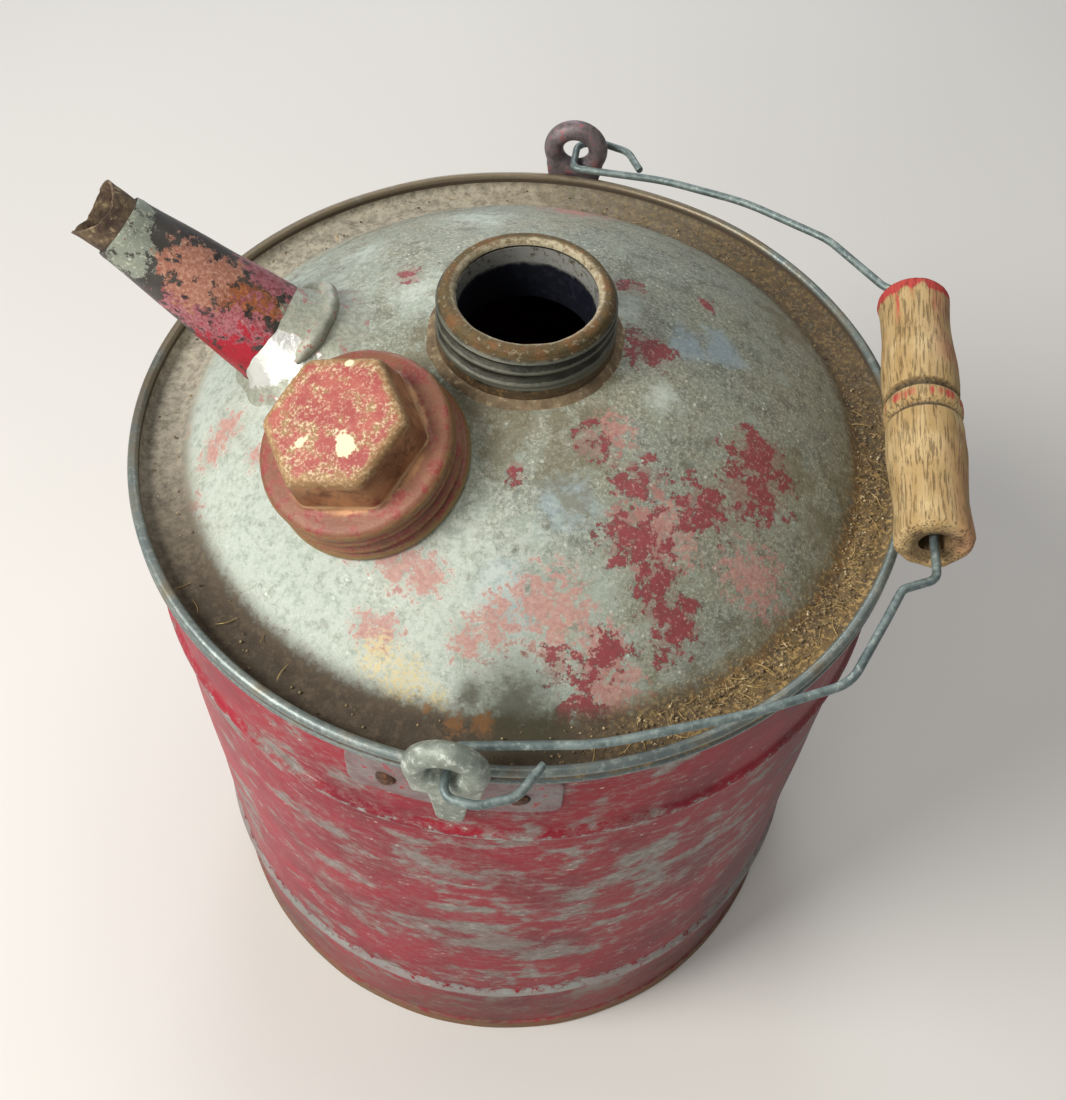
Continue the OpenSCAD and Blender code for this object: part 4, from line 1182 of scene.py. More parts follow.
class CAN_OT_spout(bpy.types.Operator):
    """Builds the slanted spout, the torn tube in its end, and the collar and solder at its foot"""

    bl_idname = "can.spout"
    bl_label = "Spout"

    def execute(self, context):
        colours = context.scene.can_colours

        def cone(inset):
            """Section line whose height runs from 0 at the dome to 1 at the far end."""
            return [(-inset, share) for share in np.linspace(0, 1, 40)]

        def tube_shape(radius, angle, height):
            foot = spout_dome(angle) - 0.3
            along = foot + height * (SPOUT_LEN - foot)
            at = ring_points(SPOUT_FOOT_R + 0 * angle, angle, along)
            lap = 0.35 * (1 - smooth_step(angle_gap(angle, 165), 5, 8))
            curl = 0.45 * smooth_step(height, 0.965, 0.985) * (1 - smooth_step(height, 0.992, 1.0))
            knocks = -0.35 * np.clip(wander(at, 17, 5) + 0.2, 0, 1)
            return spout_radius(along) + radius + lap + curl + knocks, along

        tube = lathe("spout_cone", cone(0) + cone(SHEET)[::-1], SPOUT_FRAME, 160, shape=tube_shape)
        x, y, z = coords(tube, SPOUT_FRAME).T
        angle = np.degrees(np.arctan2(y, x))
        around = angle / 180 * math.pi * spout_radius(z)
        for name, places in SPOUT_MARKS.items():
            on_skin = [(s, math.radians(a) * spout_radius(s), radius) for s, a, radius in places]
            mark(tube, name, spots(z, around, on_skin))
        keep_piece(tube, painted_spout(), "can", "spout_steel", "spout_tube")

        stub_r = SPOUT_END_R - SHEET - 0.1

        def torn(radius, angle, height):
            """The end is torn off: a broad bite on the near side, and small jags all round."""
            share = (height - STUB_LOW) / (STUB_TOP - STUB_LOW)
            turn = np.radians(angle)
            bite = 4.6 * np.clip(np.cos(turn + math.radians(38)), 0, 1) ** 1.6
            bite = bite + 2.2 * np.clip(np.cos(turn - math.radians(150)), 0, 1) ** 3
            jag = 0.9 * np.abs(wander(ring_points(8 + 0 * turn, angle, 0 * turn), 2.1, 3))
            jag = jag + 0.9 * np.abs(wander(ring_points(8 + 0 * turn, angle, 0 * turn), 5.5, 7))
            ragged_top = height - share ** 3 * (bite + jag)
            bend = share ** 2 * (0.1 + 0.5 * wander(ring_points(10 + 0 * turn, angle, height), 6, 2))
            return np.minimum(radius + bend - 0.1, stub_r + 0.35 - (stub_r - radius)), ragged_top

        outer_side = line((stub_r - 0.3, STUB_LOW), (stub_r, STUB_TOP), 22) + [(stub_r, STUB_TOP)]
        inner_side = [(r - 1.0, z) for r, z in outer_side[::-1]]
        stub = lathe("torn_spout_tube", outer_side + inner_side, SPOUT_FRAME, 144, shape=torn)
        # Thin steel tube, rusted through at its torn end: matt dark brown with tan scale.
        rusty = mottled("rusty_torn_tube", "#4a3a30", "#7d6a52", 0.7, 0.25, 2.4, "#9a8a68", 0.25)
        keep_piece(stub, rusty, "can", "rusty_neck", "spout_stub")

        # The solder is a mound around the foot that has splashed out on the near side.
        dome_middle = np.array(SPOUT_FRAME.inverted() @ Vector((0, 0, DOME_C)))
        share = np.array([0, 0.06, 0.14, 0.24, 0.36, 0.5, 0.64, 0.78, 0.9, 1.0])

        def mound(angle):
            """The mound's skin: rows round the spout, points from the tube down to the dome."""
            angle = angle[:, None]
            near = 1 - smooth_step(angle_gap(angle, -80), 26, 60)
            ripple = wander(ring_points(19 + 0 * angle, angle, 0 * angle), 5.5, 6)
            skin_s = spout_dome(angle, 0.05)
            up = np.maximum(foot_line(angle) - skin_s + (0.3 + 0.9 * near) * ripple, 2.2)
            wide = (3.4 + 0.55 * up + 1.5 * near) * (1 + 0.3 * ripple)
            on_tube = ring_points(spout_radius(skin_s + up) + 0.05, angle, skin_s + up)
            crease = ring_points(spout_radius(skin_s) + 0.6 + 0.12 * up, angle, skin_s + 0.3 * up)
            on_dome = ring_points(spout_radius(skin_s) + wide, angle, skin_s)
            away = on_dome - dome_middle
            on_dome = dome_middle + away / np.linalg.norm(away, axis=-1, keepdims=True) * (DOME_R - 0.15)
            weight = share[None, :, None]
            skin = on_tube * (1 - weight) ** 2 + 2 * crease * weight * (1 - weight) + on_dome * weight ** 2
            away = skin - dome_middle
            distance = np.linalg.norm(away, axis=-1, keepdims=True)
            return dome_middle + away / distance * np.maximum(distance, DOME_R - 0.15)

        angle = np.linspace(0, 360, 240, endpoint=False)
        deep_s = spout_dome(angle[:, None])
        deep = ring_points(spout_radius(deep_s) - 0.3, angle[:, None], deep_s - 0.6)
        skin = mound(angle)
        solder = grid_piece("spout_solder_mound",
                            place(np.concatenate([skin, deep], axis=1), SPOUT_FRAME))
        x, y, z = coords(solder, SPOUT_FRAME).T
        turn = np.degrees(np.arctan2(y, x))
        close = 1 - smooth_step(np.hypot(x, y) - spout_radius(z), 1.5, 6)
        mark(solder, "bright", close * (1 - smooth_step(angle_gap(turn, -78), 28, 52))
             + 0.4 * (1 - smooth_step(angle_gap(turn, -60), 10, 40)))
        keep_piece(solder, splashed_solder(colours), "can", "solder", "spout_solder",
                   sharp=80)

        # The collar is a half-round bead that lies on the mound's near side.
        heading = np.linspace(-52, 104, 100)
        taper = 0.35 + 0.65 * smooth_step(heading, -52, -40) * (1 - smooth_step(heading, 84, 104))
        lumps = 1 + 0.08 * wander(ring_points(24 + 0 * heading, heading, 0 * heading), 7, 4)
        bar = (FOOT_RING_BAR - 0.5) * (taper * lumps)[:, None, None]
        seat = mound(heading)
        middle = seat[:, 5:6] + 0.35 * bar * np.array([0, 0, 1.0])
        out = ring_points(np.ones_like(heading), heading, 0 * heading)[:, None]
        round_bar = np.radians(np.linspace(0, 360, 28, endpoint=False))[None, :, None]
        points = middle + bar * (out * np.cos(round_bar) + np.array([0, 0, 1.0]) * np.sin(round_bar))
        collar = grid_piece("spout_foot_collar", place(points, SPOUT_FRAME), closed=False)
        # Tinned half-round collar: dull grey, a little shiny, with traces of red paint.
        grey = mottled("grey_pressed_collar", "#8a8d80", "#a9ac9e", 0.45, 0.3, 3, "#9a6f62", 0.12)
        keep_piece(collar, grey, "can", "spout_steel", "spout_collar")
        return {"FINISHED"}


# ---------- ears, straps and rivets ----------

class CAN_OT_ears(bpy.types.Operator):
    """Builds the two cast ears and the riveted straps beneath them"""

    bl_idname = "can.ears"
    bl_label = "Ears and straps"

    def execute(self, context):
        # Galvanised iron castings: pale grey in front, stained purple brown at the rear, rounded edges
        # that catch the light; the straps are zinc sheet with the last of their paint.
        iron = mottled("galvanised_casting", "#7a8278", "#a3aba0", 0.42, 0.3, 3.2, "#c3c9c0", 0.2)
        purple = mottled("stained_casting", "#5d5558", "#857a7c", 0.45, 0.4, 3.2, "#a0565c", 0.2)
        strap = mottled("thin_paint_on_strap", "#7a5a5c", "#8d8886", 0.5, 0.3, 5, "#a5404c", 0.1)
        for side, finish in (("front", iron), ("rear", purple)):
            ear = softened_copy(f"{side}_ear", f"{side}_ear_casting", 0.55, 8)
            keep_piece(ear, finish, "can", "ear_iron", f"{side}_ear", sharp=70)
            band = softened_copy(f"{side}_strap", f"{side}_strap_sheet", 0.4, 2)
            keep_piece(band, strap, "can", "strap_zinc", f"{side}_strap", sharp=50)
        return {"FINISHED"}


def rivet_head():
    """One hammered button head with its shank, pointing up Z, as the pattern for all rivets."""
    head = arc(0, 0, 3.6, 0, 78, 7)
    section = [(0, 1.7)] + [(r, 1.7 * z / 3.6 + 0.1) for r, z in head[1:]] + [
        (3.55, 0), (1.9, 0), (1.9, -2.4), (3.1, -2.4), (2.9, -3.2), (0, -3.3)]

    def hammered(radius, angle, height):
        return radius * (1 + 0.07 * np.cos(np.radians(angle * 3 + 20))), height - 0.12 * np.cos(
            np.radians(angle * 2)) * (radius > 1) * (height > 0.3)

    return lathe("rivet_pattern", section, steps=36, shape=hammered)


class CAN_OT_rivets(bpy.types.Operator):
    """Sets a rivet in each of the four holes through straps and wall, with Geometry Nodes"""

    bl_idname = "can.rivets"
    bl_label = "Rivets"

    def execute(self, context):
        # Iron rivets: matt dark rust, lumpy from the hammer.
        rusty = mottled("rusty_rivet_iron", "#3c2a22", "#6a4a38", 0.7, 0.25, 1.6, "#8a5a3c", 0.15)
        pattern = rivet_head()
        height = (corner("front_rivet_left").z + corner("front_rivet_left", False).z) / 2
        mesh = bpy.data.meshes.new("rivet_seats")
        headings = [side + step for side in (-90, 90) for step in (-RIVET_STEP, RIVET_STEP)]
        seats = ring_points(np.full(4, STRAP_R + 0.02), np.array(headings), height)
        mesh.from_pydata((seats * MM).tolist(), [], [])
        rivets = bpy.data.objects.new("rivets", mesh)
        context.scene.collection.objects.link(rivets)

        tree = bpy.data.node_groups.new("Rivets on seats", "GeometryNodeTree")
        tree.interface.new_socket("Seats", in_out="INPUT", socket_type="NodeSocketGeometry")
        tree.interface.new_socket("Rivet", in_out="INPUT", socket_type="NodeSocketObject")
        tree.interface.new_socket("Finish", in_out="INPUT", socket_type="NodeSocketMaterial")
        tree.interface.new_socket("Size", in_out="INPUT", socket_type="NodeSocketFloat")
        tree.interface.new_socket("Rivets", in_out="OUTPUT", socket_type="NodeSocketGeometry")
        given = add(tree, "NodeGroupInput")
        where = add(tree, "GeometryNodeInputPosition")
        level = add(tree, "ShaderNodeVectorMath", {0: where.outputs[0], 1: (1, 1, 0)}, operation="MULTIPLY")
        turn = add(tree, "FunctionNodeAlignRotationToVector", {"Vector": level.outputs[0]}, axis="Z")
        shape = add(tree, "GeometryNodeObjectInfo", {"Object": given.outputs["Rivet"]})
        copies = add(tree, "GeometryNodeInstanceOnPoints",
                     {"Points": given.outputs["Seats"], "Instance": shape.outputs["Geometry"],
                      "Rotation": turn.outputs[0], "Scale": given.outputs["Size"]})
        real = add(tree, "GeometryNodeRealizeInstances", {0: copies.outputs[0]})
        painted = add(tree, "GeometryNodeSetMaterial",
                      {"Geometry": real.outputs[0], "Material": given.outputs["Finish"]})
        add(tree, "NodeGroupOutput", {"Rivets": painted.outputs[0]})
        run_tree(rivets, tree, Rivet=pattern, Finish=rusty, Size=1.0)
        bpy.data.objects.remove(pattern)
        keep_piece(rivets, rusty, "can", "rivet_iron", "front_rivet_left", "front_rivet_right",
                   "rear_rivet_left", "rear_rivet_right")
        return {"FINISHED"}


def run_tree(piece, tree, **values):
    """Runs a geometry node tree on a piece, with its named inputs set, and keeps the plain result."""
    modifier = piece.modifiers.new(tree.name, "NODES")
    modifier.node_group = tree
    for item in tree.interface.items_tree:
        if item.name in values:
            modifier[item.identifier] = values[item.name]
    return apply_modifiers(piece)


# ---------- bail and grip ----------

HOOK = ((29, 142.5, 0), (22.5, 154.5, 9), (11, 158.8, 7), (0, 157.6, 5), (0, 140.4, 4))


def middle_x(y):
    """Distance out to the wire's straight middle at y."""
    return GRIP_REACH - (y - GRIP_SLIDE) * math.tan(GRIP_SKEW)


def wire_bends():
    """Bends of the wire in the bail's plane: x, y and bend radius, from the front hook to the rear."""
    front = [(x, -y, r) for x, y, r in HOOK]
    side = [(45, -133.5, 90), (90, -116.5, 90), (121, -101, 16), (132, -76, 30), (137.6, -62.6, 5)]
    middle = [(middle_x(-57), -57, 5), (middle_x(80), 80, 4)]
    far = [(133, 82, 10), (110, 108, 30), (75, 127, 80), (40, 137, 90)]
    return front + side + middle + far + list(reversed(HOOK))


def rounded(bends, steps):
    """Points along bends whose corners are rounded to their radius."""
    points = [Vector(bends[0][:2])]
    for back, here, on in zip(bends, bends[1:], bends[2:]):
        corner_at = Vector(here[:2])
        to_back = (Vector(back[:2]) - corner_at).normalized()
        to_on = (Vector(on[:2]) - corner_at).normalized()
        half = to_back.angle(to_on) / 2
        centre = corner_at + (to_back + to_on).normalized() * here[2] / math.sin(half)
        first = corner_at + to_back * here[2] / math.tan(half) - centre
        last = corner_at + to_on * here[2] / math.tan(half) - centre
        points += [centre + (first * (1 - k / steps) + last * k / steps).normalized() * here[2]
                   for k in range(steps + 1)]
    return points + [Vector(bends[-1][:2])]


class CAN_OT_bail(bpy.types.Operator):
    """Bends the wire bail, hooked through both ears"""

    bl_idname = "can.bail"
    bl_label = "Bail wire"

    def execute(self, context):
        radius = context.scene.can_sizes.wire_d / MM / 2
        path = np.array([(p.x, p.y, 0) for p in rounded(wire_bends(), 9)])
        gaps = np.linalg.norm(np.diff(path, axis=0), axis=1)
        along = np.concatenate([[0], np.cumsum(gaps)])
        even = np.unique(np.concatenate([along, np.arange(0, along[-1], 4)]))
        even = even[np.concatenate([[True], np.diff(even) > 0.3])]
        path = np.stack([np.interp(even, along, path[:, k]) for k in range(3)], -1)
        run = np.gradient(path, axis=0)
        run = run / np.linalg.norm(run, axis=1, keepdims=True)
        side = np.stack([-run[:, 1], run[:, 0], 0 * run[:, 0]], -1)
        turn = np.radians(np.linspace(0, 360, 20, endpoint=False))
        dull = 1 - 0.03 * np.abs(wander(path, 6, 5))
        dull[[0, -1]] *= 0.86
        ring = (side[:, None, :] * np.cos(turn)[None, :, None]
                + np.array([0, 0, 1.0]) * np.sin(turn)[None, :, None])
        points = path[:, None, :] + radius * dull[:, None, None] * ring
        wire = grid_piece("bail_wire_bent", place(points, BAIL_FRAME), closed=False)
        # Drawn and galvanised steel wire: blue grey and softly shiny.
        steel = mottled("galvanised_wire", "#5f6d6d", "#84918f", 0.45, 0.5, 2.4, "#9aa5a1", 0.1)
        keep_piece(wire, steel, "bail", "bail_steel", "bail_wire", sharp=60)
        return {"FINISHED"}


class CAN_OT_grip(bpy.types.Operator):
    """Turns the wooden grip: two waisted halves either side of a raised ring, bored through"""

    bl_idname = "can.grip"
    bl_label = "Wooden grip"

    def execute(self, context):
        ring_half = 4
        groove = 3

        def half_radius(f):
            """Radius of one half from the groove (0) to the end (1)."""
            return (GRIP_R + WAIST_R) / 2 + (GRIP_R - WAIST_R) / 2 * math.cos(2 * math.pi * (1.06 * f - 0.2))

        start = ring_half + groove
        body = [(half_radius(f), start + f * (GRIP_HALF - start)) for f in np.linspace(0, 0.955, 46)]
        shoulder = arc(half_radius(0.955) - 2.6, GRIP_HALF - 2.6, 2.6, 80, 8, 7)
        dish = [(9.4, GRIP_HALF - 0.3), (7.2, GRIP_HALF - 0.9), (5.4, GRIP_HALF - 1.8),
                (GRIP_BORE_R + 0.2, GRIP_HALF - 2.6)]
        ring = [(GRIP_R + 0.1, 0), (GRIP_R + 0.08, 1.6), (GRIP_R - 0.25, ring_half - 1.2),
                (GRIP_R - 0.9, ring_half - 0.5), (GRIP_R - 1.7, ring_half)]
        cut = [(WAIST_R - 0.7, ring_half + 0.5), (WAIST_R - 0.95, ring_half + groove / 2),
               (WAIST_R - 0.6, ring_half + groove - 0.5)]
        half_line = ring + cut + body + shoulder + dish
        bore = line((GRIP_BORE_R, GRIP_HALF - 3.4), (GRIP_BORE_R, -GRIP_HALF + 3.4), 8)
        section = half_line + bore + [(r, -h) for r, h in half_line[::-1] if h > 0]

        def worn(radius, angle, height):
            """Turning marks, grain and a few knocks, inwards only; the near end is chewed."""
            at = ring_points(radius, angle, height * 0.12)
            fibre = 0.18 * np.abs(wander(at, 1.3, 3)) + 0.22 * np.clip(wander(at, 6, 9), 0, 1)
            knocks = 0.7 * np.clip(wander(ring_points(radius, angle, height), 11, 4) - 0.18, 0, 1)
            chewed = 1.1 * smooth_step(-height, GRIP_HALF - 5, GRIP_HALF) * np.clip(
                0.3 + wander(ring_points(radius, angle, 0 * height), 7, 6), 0, 1)
            outside = radius > GRIP_BORE_R + 0.5
            hole = (1 - outside) * smooth_step(-height, GRIP_HALF - 9, GRIP_HALF - 2) * (
                0.8 + 1.2 * wander(ring_points(4 + 0 * angle, angle, 0 * angle), 4, 2))
            moved = radius - outside * (fibre + knocks + 0.6 * chewed) + np.clip(hole, 0, 3)
            return moved, height + chewed * 0.9 * (height < -GRIP_HALF + 3)

        grip = lathe("turned_wood_grip", section, GRIP_FRAME, 128, shape=worn)
        x, y, z = coords(grip, GRIP_FRAME).T
        out = np.hypot(x, y)
        mark(grip, "red", np.maximum.reduce([
            smooth_step(z, GRIP_HALF - 10, GRIP_HALF - 2),
            0.46 * np.exp(-((np.abs(z) - 0.5) / 2.6) ** 2),
            0.3 * smooth_step(z, GRIP_HALF - 30, GRIP_HALF - 10)]))
        mark(grip, "groove", np.exp(-((np.abs(z) - ring_half - groove / 2) / 1.5) ** 2)
             * (out > GRIP_BORE_R + 2))
        # Painted shade: the grip's right side, away from its middle, is marked darker.
        mark(grip, "worn", smooth_step(x, -2, 10) * smooth_step(np.abs(z), 10, 20))
        mark(grip, "end", (out < 9) * smooth_step(np.abs(z), GRIP_HALF - 4, GRIP_HALF - 1) + (out < 6))
        keep_piece(grip, worn_wood(context.scene.can_colours), "handgrip", "grip_wood", "grip", sharp=50)
        return {"FINISHED"}


# ---------- screw cap ----------

CAP_BLOBS = (
    # x, y and radius of the cream spots on the cap's top
    (1, 4.4, 2.3), (4.6, 12, 2.6), (2.2, 13.8, 2.1), (10.9, -2.1, 1.7), (7, 13.6, 1.6), (-16.7, -10, 1.3),
)


def hexagon(angle, apothem):
    """Radius of a soft-cornered hexagon in each direction."""
    turned = np.radians(angle - HEX_TURN - 30)
    total = sum(np.abs(np.cos(turned - math.radians(60 * k))) ** 26 for k in range(3))
    return apothem / total ** (1 / 26)


class CAN_OT_cap(bpy.types.Operator):
    """Builds the hexagon-topped screw cap that lies on the dome, and the cork ring inside it"""

    bl_idname = "can.cap"
    bl_label = "Screw cap"

    def execute(self, context):
        sizes = context.scene.can_sizes
        wall = 1.0
        thread_low = 2.6
        thread_high = 14.6
        boss = HEX_APOTHEM

        def side(inset):
            """Skirt line from the curl up to the round shoulder."""
            straight = line((CAP_R - 0.5 - inset, thread_low), (CAP_R - 1.2 - inset, thread_high), 40)
            return straight + arc(CAP_R - 4.4 - inset, CAP_SHOULDER - 3.2, 3.2, 84, 12, 9)

        top = [(0, CAP_H), (6, CAP_H), (12, CAP_H), (17, CAP_H - 0.02), (boss - 3.4, CAP_H - 0.1)]
        edge = arc(boss - 3.0, CAP_H - 2.8, 2.6, 12, 84, 8)
        facet = line((boss - 0.1, CAP_H - 3.6), (boss + 1.3, CAP_SHOULDER + 1.6), 12)
        root = [(boss + 1.4, CAP_SHOULDER + 1.3), (boss + 1.75, CAP_SHOULDER + 0.7),
                (boss + 2.6, CAP_SHOULDER + 0.35)]
        shoulder = line((boss + 3.6, CAP_SHOULDER + 0.25), (CAP_R - 4.4, CAP_SHOULDER + 0.05), 5)
        curl = [(CAP_R - 0.35, 2.3), (CAP_R - 0.02, 1.7), (CAP_R - 0.05, 1.0), (CAP_R - 0.5, 0.3),
                (CAP_R - 1.2, 0.02), (CAP_R - 1.9, 0.4), (CAP_R - 2.1, 1.2)]
        inner_top = [(boss + 1.0, CAP_SHOULDER - 0.9), (boss + 0.2, CAP_SHOULDER - 0.4),
                     (boss - 0.1, CAP_SHOULDER + 1), (boss - 1.2, CAP_H - 4),
                     (boss - 3.6, CAP_H - wall - 0.3),
                     (12, CAP_H - wall), (0, CAP_H - wall)]
        section = top + edge + facet + root + shoulder + side(0)[::-1] + curl + side(wall) + inner_top
        hex_until = boss + 2.7

        def pressed(radius, angle, height):
            """Blends the hexagonal boss to the round skirt, and rolls the thread into the skirt."""
            six = hexagon(angle, 1.0)
            inner_boss = (height > CAP_SHOULDER - 1) & (radius < boss + 1.1)
            boss_part = (height > CAP_SHOULDER + 0.3) & (radius < hex_until) | inner_boss
            grow = np.where(boss_part, np.clip(radius / boss, 0, 1) ** 2, 0)
            spread = np.where(boss_part, radius * (1 + (six - 1) * grow), radius)
            ring_part = (radius >= boss + 2.5) & (height > CAP_SHOULDER - 1)
            fade = 1 - smooth_step(radius, boss + 2.5, CAP_R - 3.5)
            spread = np.where(ring_part & ~boss_part, radius + (six - 1) * boss * fade * 0.9, spread)
            sink = thread_sink(angle, height, thread_low, thread_high, THREAD_PITCH, 2.3)
            skirt = (height > thread_low - 0.1) & (height < thread_high + 0.1) & (radius > boss + 5)
            depth = sizes.thread_depth / MM / 1.6
            at = ring_points(radius, angle, height)
            dull = 0.18 * wander(at, 8, 5) + 0.1 * wander(at, 2.6, 2)
            low = smooth_step(height, 0.5, 2.5)
            moved = spread - np.where(skirt, sink * depth, 0) - np.clip(dull, -0.1, 1) * low
            return moved, height - np.where(height > CAP_H - 2, np.abs(dull) * 1.2, 0)

        cap = lathe("screw_cap_pressing", section, CAP_FRAME, 240, shape=pressed)
        x, y, z = coords(cap, CAP_FRAME).T
        out = np.hypot(x, y)
        angle = np.degrees(np.arctan2(y, x))
        share = out / hexagon(angle, boss)
        mark(cap, "top", smooth_step(z, CAP_H - 2.2, CAP_H - 0.8) * (1 - smooth_step(share, 0.86, 1.02)))
        corners = smooth_step(out, 18.5, 24.5)
        mark(cap, "edge", smooth_step(z, CAP_H - 4, CAP_H - 1.5) * np.maximum(
            smooth_step(share, 0.72, 0.98), corners * 0.9))
        mark(cap, "skirt", smooth_step(out, boss + 2, boss + 5) * 0.85)
        # Painted highlight along the foot and the top edge of the hexagon.
        mark(cap, "bright", np.maximum(np.exp(-((z - CAP_SHOULDER - 1.7) / 0.8) ** 2) * (share < 1.12),
                                       0.5 * np.exp(-((z - CAP_H + 3.2) / 1.0) ** 2)))
        grooves = thread_sink(angle, z, thread_low, thread_high, THREAD_PITCH, 1) * (out > boss + 5)
        mark(cap, "root", smooth_step(grooves, 0.7, 1) * 0.7)
        mark(cap, "crest", 0.8 * (1 - smooth_step(grooves, 0.05, 0.3)) * (out > boss + 5)
             * (z < CAP_SHOULDER - 1))
        mark(cap, "curl", 1 - smooth_step(z, 1.6, 3.2))
        mark(cap, "lime", (z > CAP_H - 2) * (1 - smooth_step(share, 0.8, 1.05)) * 0.95
             + 0.12 * (z < CAP_H - 2))
        mark(cap, "blobs", spots(x, y, CAP_BLOBS) * (z > CAP_H - 2))
        keep_piece(cap, cap_finish(context.scene.can_colours), "cap", "cap_paint", "screw_cap", sharp=60)

        ring = [(25.4, 15.5), (26, 15.4), (28, 15.42), (30, 15.4), (30.5, 15.7), (30.6, 16.4), (30.4, 17.1),
                (29.6, 17.2), (27, 17.18), (25.8, 17.2), (25.35, 16.9), (25.3, 16.2)]

        def crumbled(radius, angle, height):
            worn = np.abs(wander(ring_points(radius, angle, height), 3.2, 7))
            return radius + np.where(radius < 26.5, 0.5, -0.35) * worn, height

        gasket = lathe("cork_ring", ring, CAP_FRAME, 160, shape=crumbled)
        # Pressed cork, soaked and dried: matt brown with dark pits.
        cork = mottled("aged_cork", "#6a4c30", "#9a7850", 0.9, 0.0, 1.6, "#3f2d1d", 0.3)
        keep_piece(gasket, cork, "cap", "cork", "cap_gasket")
        return {"FINISHED"}


# ---------- litter in the gutter ----------

def litter_tree(name):
    """A tree that scatters copies of a pattern over faces, turned at random, and makes them real."""
    tree = bpy.data.node_groups.new(name, "GeometryNodeTree")
    sockets = (("Ground", "Geometry"), ("Pattern", "Object"), ("Finish", "Material"), ("Count", "Int"),
               ("Smallest", "Float"), ("Largest", "Float"), ("Tilt", "Float"), ("Seed", "Int"))
    for socket, kind in sockets:
        tree.interface.new_socket(socket, in_out="INPUT", socket_type="NodeSocket" + kind)
    tree.interface.new_socket("Litter", in_out="OUTPUT", socket_type="NodeSocketGeometry")
    given = add(tree, "NodeGroupInput").outputs
    thick = add(tree, "GeometryNodeInputNamedAttribute", {"Name": "thick"}, data_type="FLOAT")
    area = add(tree, "GeometryNodeInputMeshFaceArea")
    share = add(tree, "ShaderNodeMath", {0: area.outputs[0], 1: thick.outputs[0]}, operation="MULTIPLY")
    total = add(tree, "GeometryNodeAttributeStatistic",
                {"Geometry": given["Ground"], "Attribute": share.outputs[0]}, domain="FACE")
    even = add(tree, "ShaderNodeMath", {0: given["Count"], 1: total.outputs["Sum"]}, operation="DIVIDE")
    density = add(tree, "ShaderNodeMath", {0: even.outputs[0], 1: thick.outputs[0]}, operation="MULTIPLY")
    points = add(tree, "GeometryNodeDistributePointsOnFaces",
                 {"Mesh": given["Ground"], "Density": density.outputs[0], "Seed": given["Seed"]})
    tilt_low = add(tree, "ShaderNodeMath", {0: given["Tilt"], 1: -1.0}, operation="MULTIPLY")
    low = add(tree, "ShaderNodeCombineXYZ", {0: tilt_low.outputs[0], 1: tilt_low.outputs[0], 2: 0.0})
    high = add(tree, "ShaderNodeCombineXYZ", {0: given["Tilt"], 1: given["Tilt"], 2: 6.283})
    turn = add(tree, "FunctionNodeRandomValue",
               {0: low.outputs[0], 1: high.outputs[0], "Seed": given["Seed"]}, data_type="FLOAT_VECTOR")
    size = add(tree, "FunctionNodeRandomValue",
               {2: given["Smallest"], 3: given["Largest"], "Seed": given["Seed"]}, data_type="FLOAT")
    pattern = add(tree, "GeometryNodeObjectInfo", {"Object": given["Pattern"]})
    copies = add(tree, "GeometryNodeInstanceOnPoints",
                 {"Points": points.outputs[0], "Instance": pattern.outputs["Geometry"],
                  "Rotation": turn.outputs[0], "Scale": size.outputs[1]})
    real = add(tree, "GeometryNodeRealizeInstances", {0: copies.outputs[0]})
    painted = add(tree, "GeometryNodeSetMaterial",
                  {"Geometry": real.outputs[0], "Material": given["Finish"]})
    add(tree, "NodeGroupOutput", {"Litter": painted.outputs[0]})
    return tree


class CAN_OT_litter(bpy.types.Operator):
    """Scatters grit and bits of straw in the gutter, with Geometry Nodes"""

    bl_idname = "can.litter"
    bl_label = "Grit and straw"

    def execute(self, context):
        sizes = context.scene.can_sizes
        grain_line = [(0, 0.5), (0.36, 0.3), (0.5, -0.05), (0.3, -0.38), (0, -0.45)]
        straw_turn = np.linspace(0, 1, 7)
        middle = np.stack([straw_turn - 0.5, 0.1 * np.sin(straw_turn * 3), 0.03 + 0 * straw_turn], -1)
        corners = np.array([(0, 0.022, 0), (0, 0, 0.02), (0, -0.022, 0), (0, 0, -0.02)])
        thickness = np.array([0.5, 1, 1, 0.9, 1, 0.8, 0.3])[:, None, None]
        straw_points = middle[:, None, :] + corners[None] * thickness
        patterns = {
            "gutter_grit": (lathe("grit_pattern", grain_line + [(0, 0)], steps=6), "gutter_grit_mineral",
                            ("#4a3c2e", "#9a8562", "#cdbf9c"), sizes.grit, 0.35, 1.25, 1.2),
            "gutter_straw": (grid_piece("straw_pattern", straw_points, closed=False), "dry_straw",
                             ("#7a6238", "#c2a870", "#d9c89a"), sizes.straw, 2.5, 8.5, 0.16),
        }
        for seed, (name, row) in enumerate(patterns.items()):
            pattern, finish_name, (dark, light, specks), count, least, most, tilt = row
            ground = lathe(name, arc(FOLD_X, FOLD_Z, GUTTER_FOLD - 0.1, FOLD_ANGLE + 176, 178, 6)
                           + [(FOLD_X + 3, GUTTER_Z + 0.08), (RIM_IN - WALL_FOLD, GUTTER_Z + 0.1)]
                           + [(RIM_IN - WALL_FOLD, GUTTER_Z + 0.08)], steps=180)
            x, y, z = coords(ground).T
            angle = np.degrees(np.arctan2(y, x))
            golden = 1 - smooth_step(angle_gap(angle, -28), 20, 62)
            mark(ground, "thick", 0.05 + 0.95 * golden)
            # Grit is mineral dust and the straw is dry: both are quite matt, tan to cream.
            finish = mottled(finish_name, dark, light, 0.85, 0.0, 4, specks, 0.05)
            run_tree(ground, litter_tree(name + "_scatter"), Pattern=pattern, Finish=finish,
                     Count=count, Smallest=float(least), Largest=float(most), Tilt=tilt, Seed=seed + 3)
            bpy.data.objects.remove(pattern)
            keep_piece(ground, finish, "can", "zinc_sheet")
        return {"FINISHED"}


# ---------- stage ----------

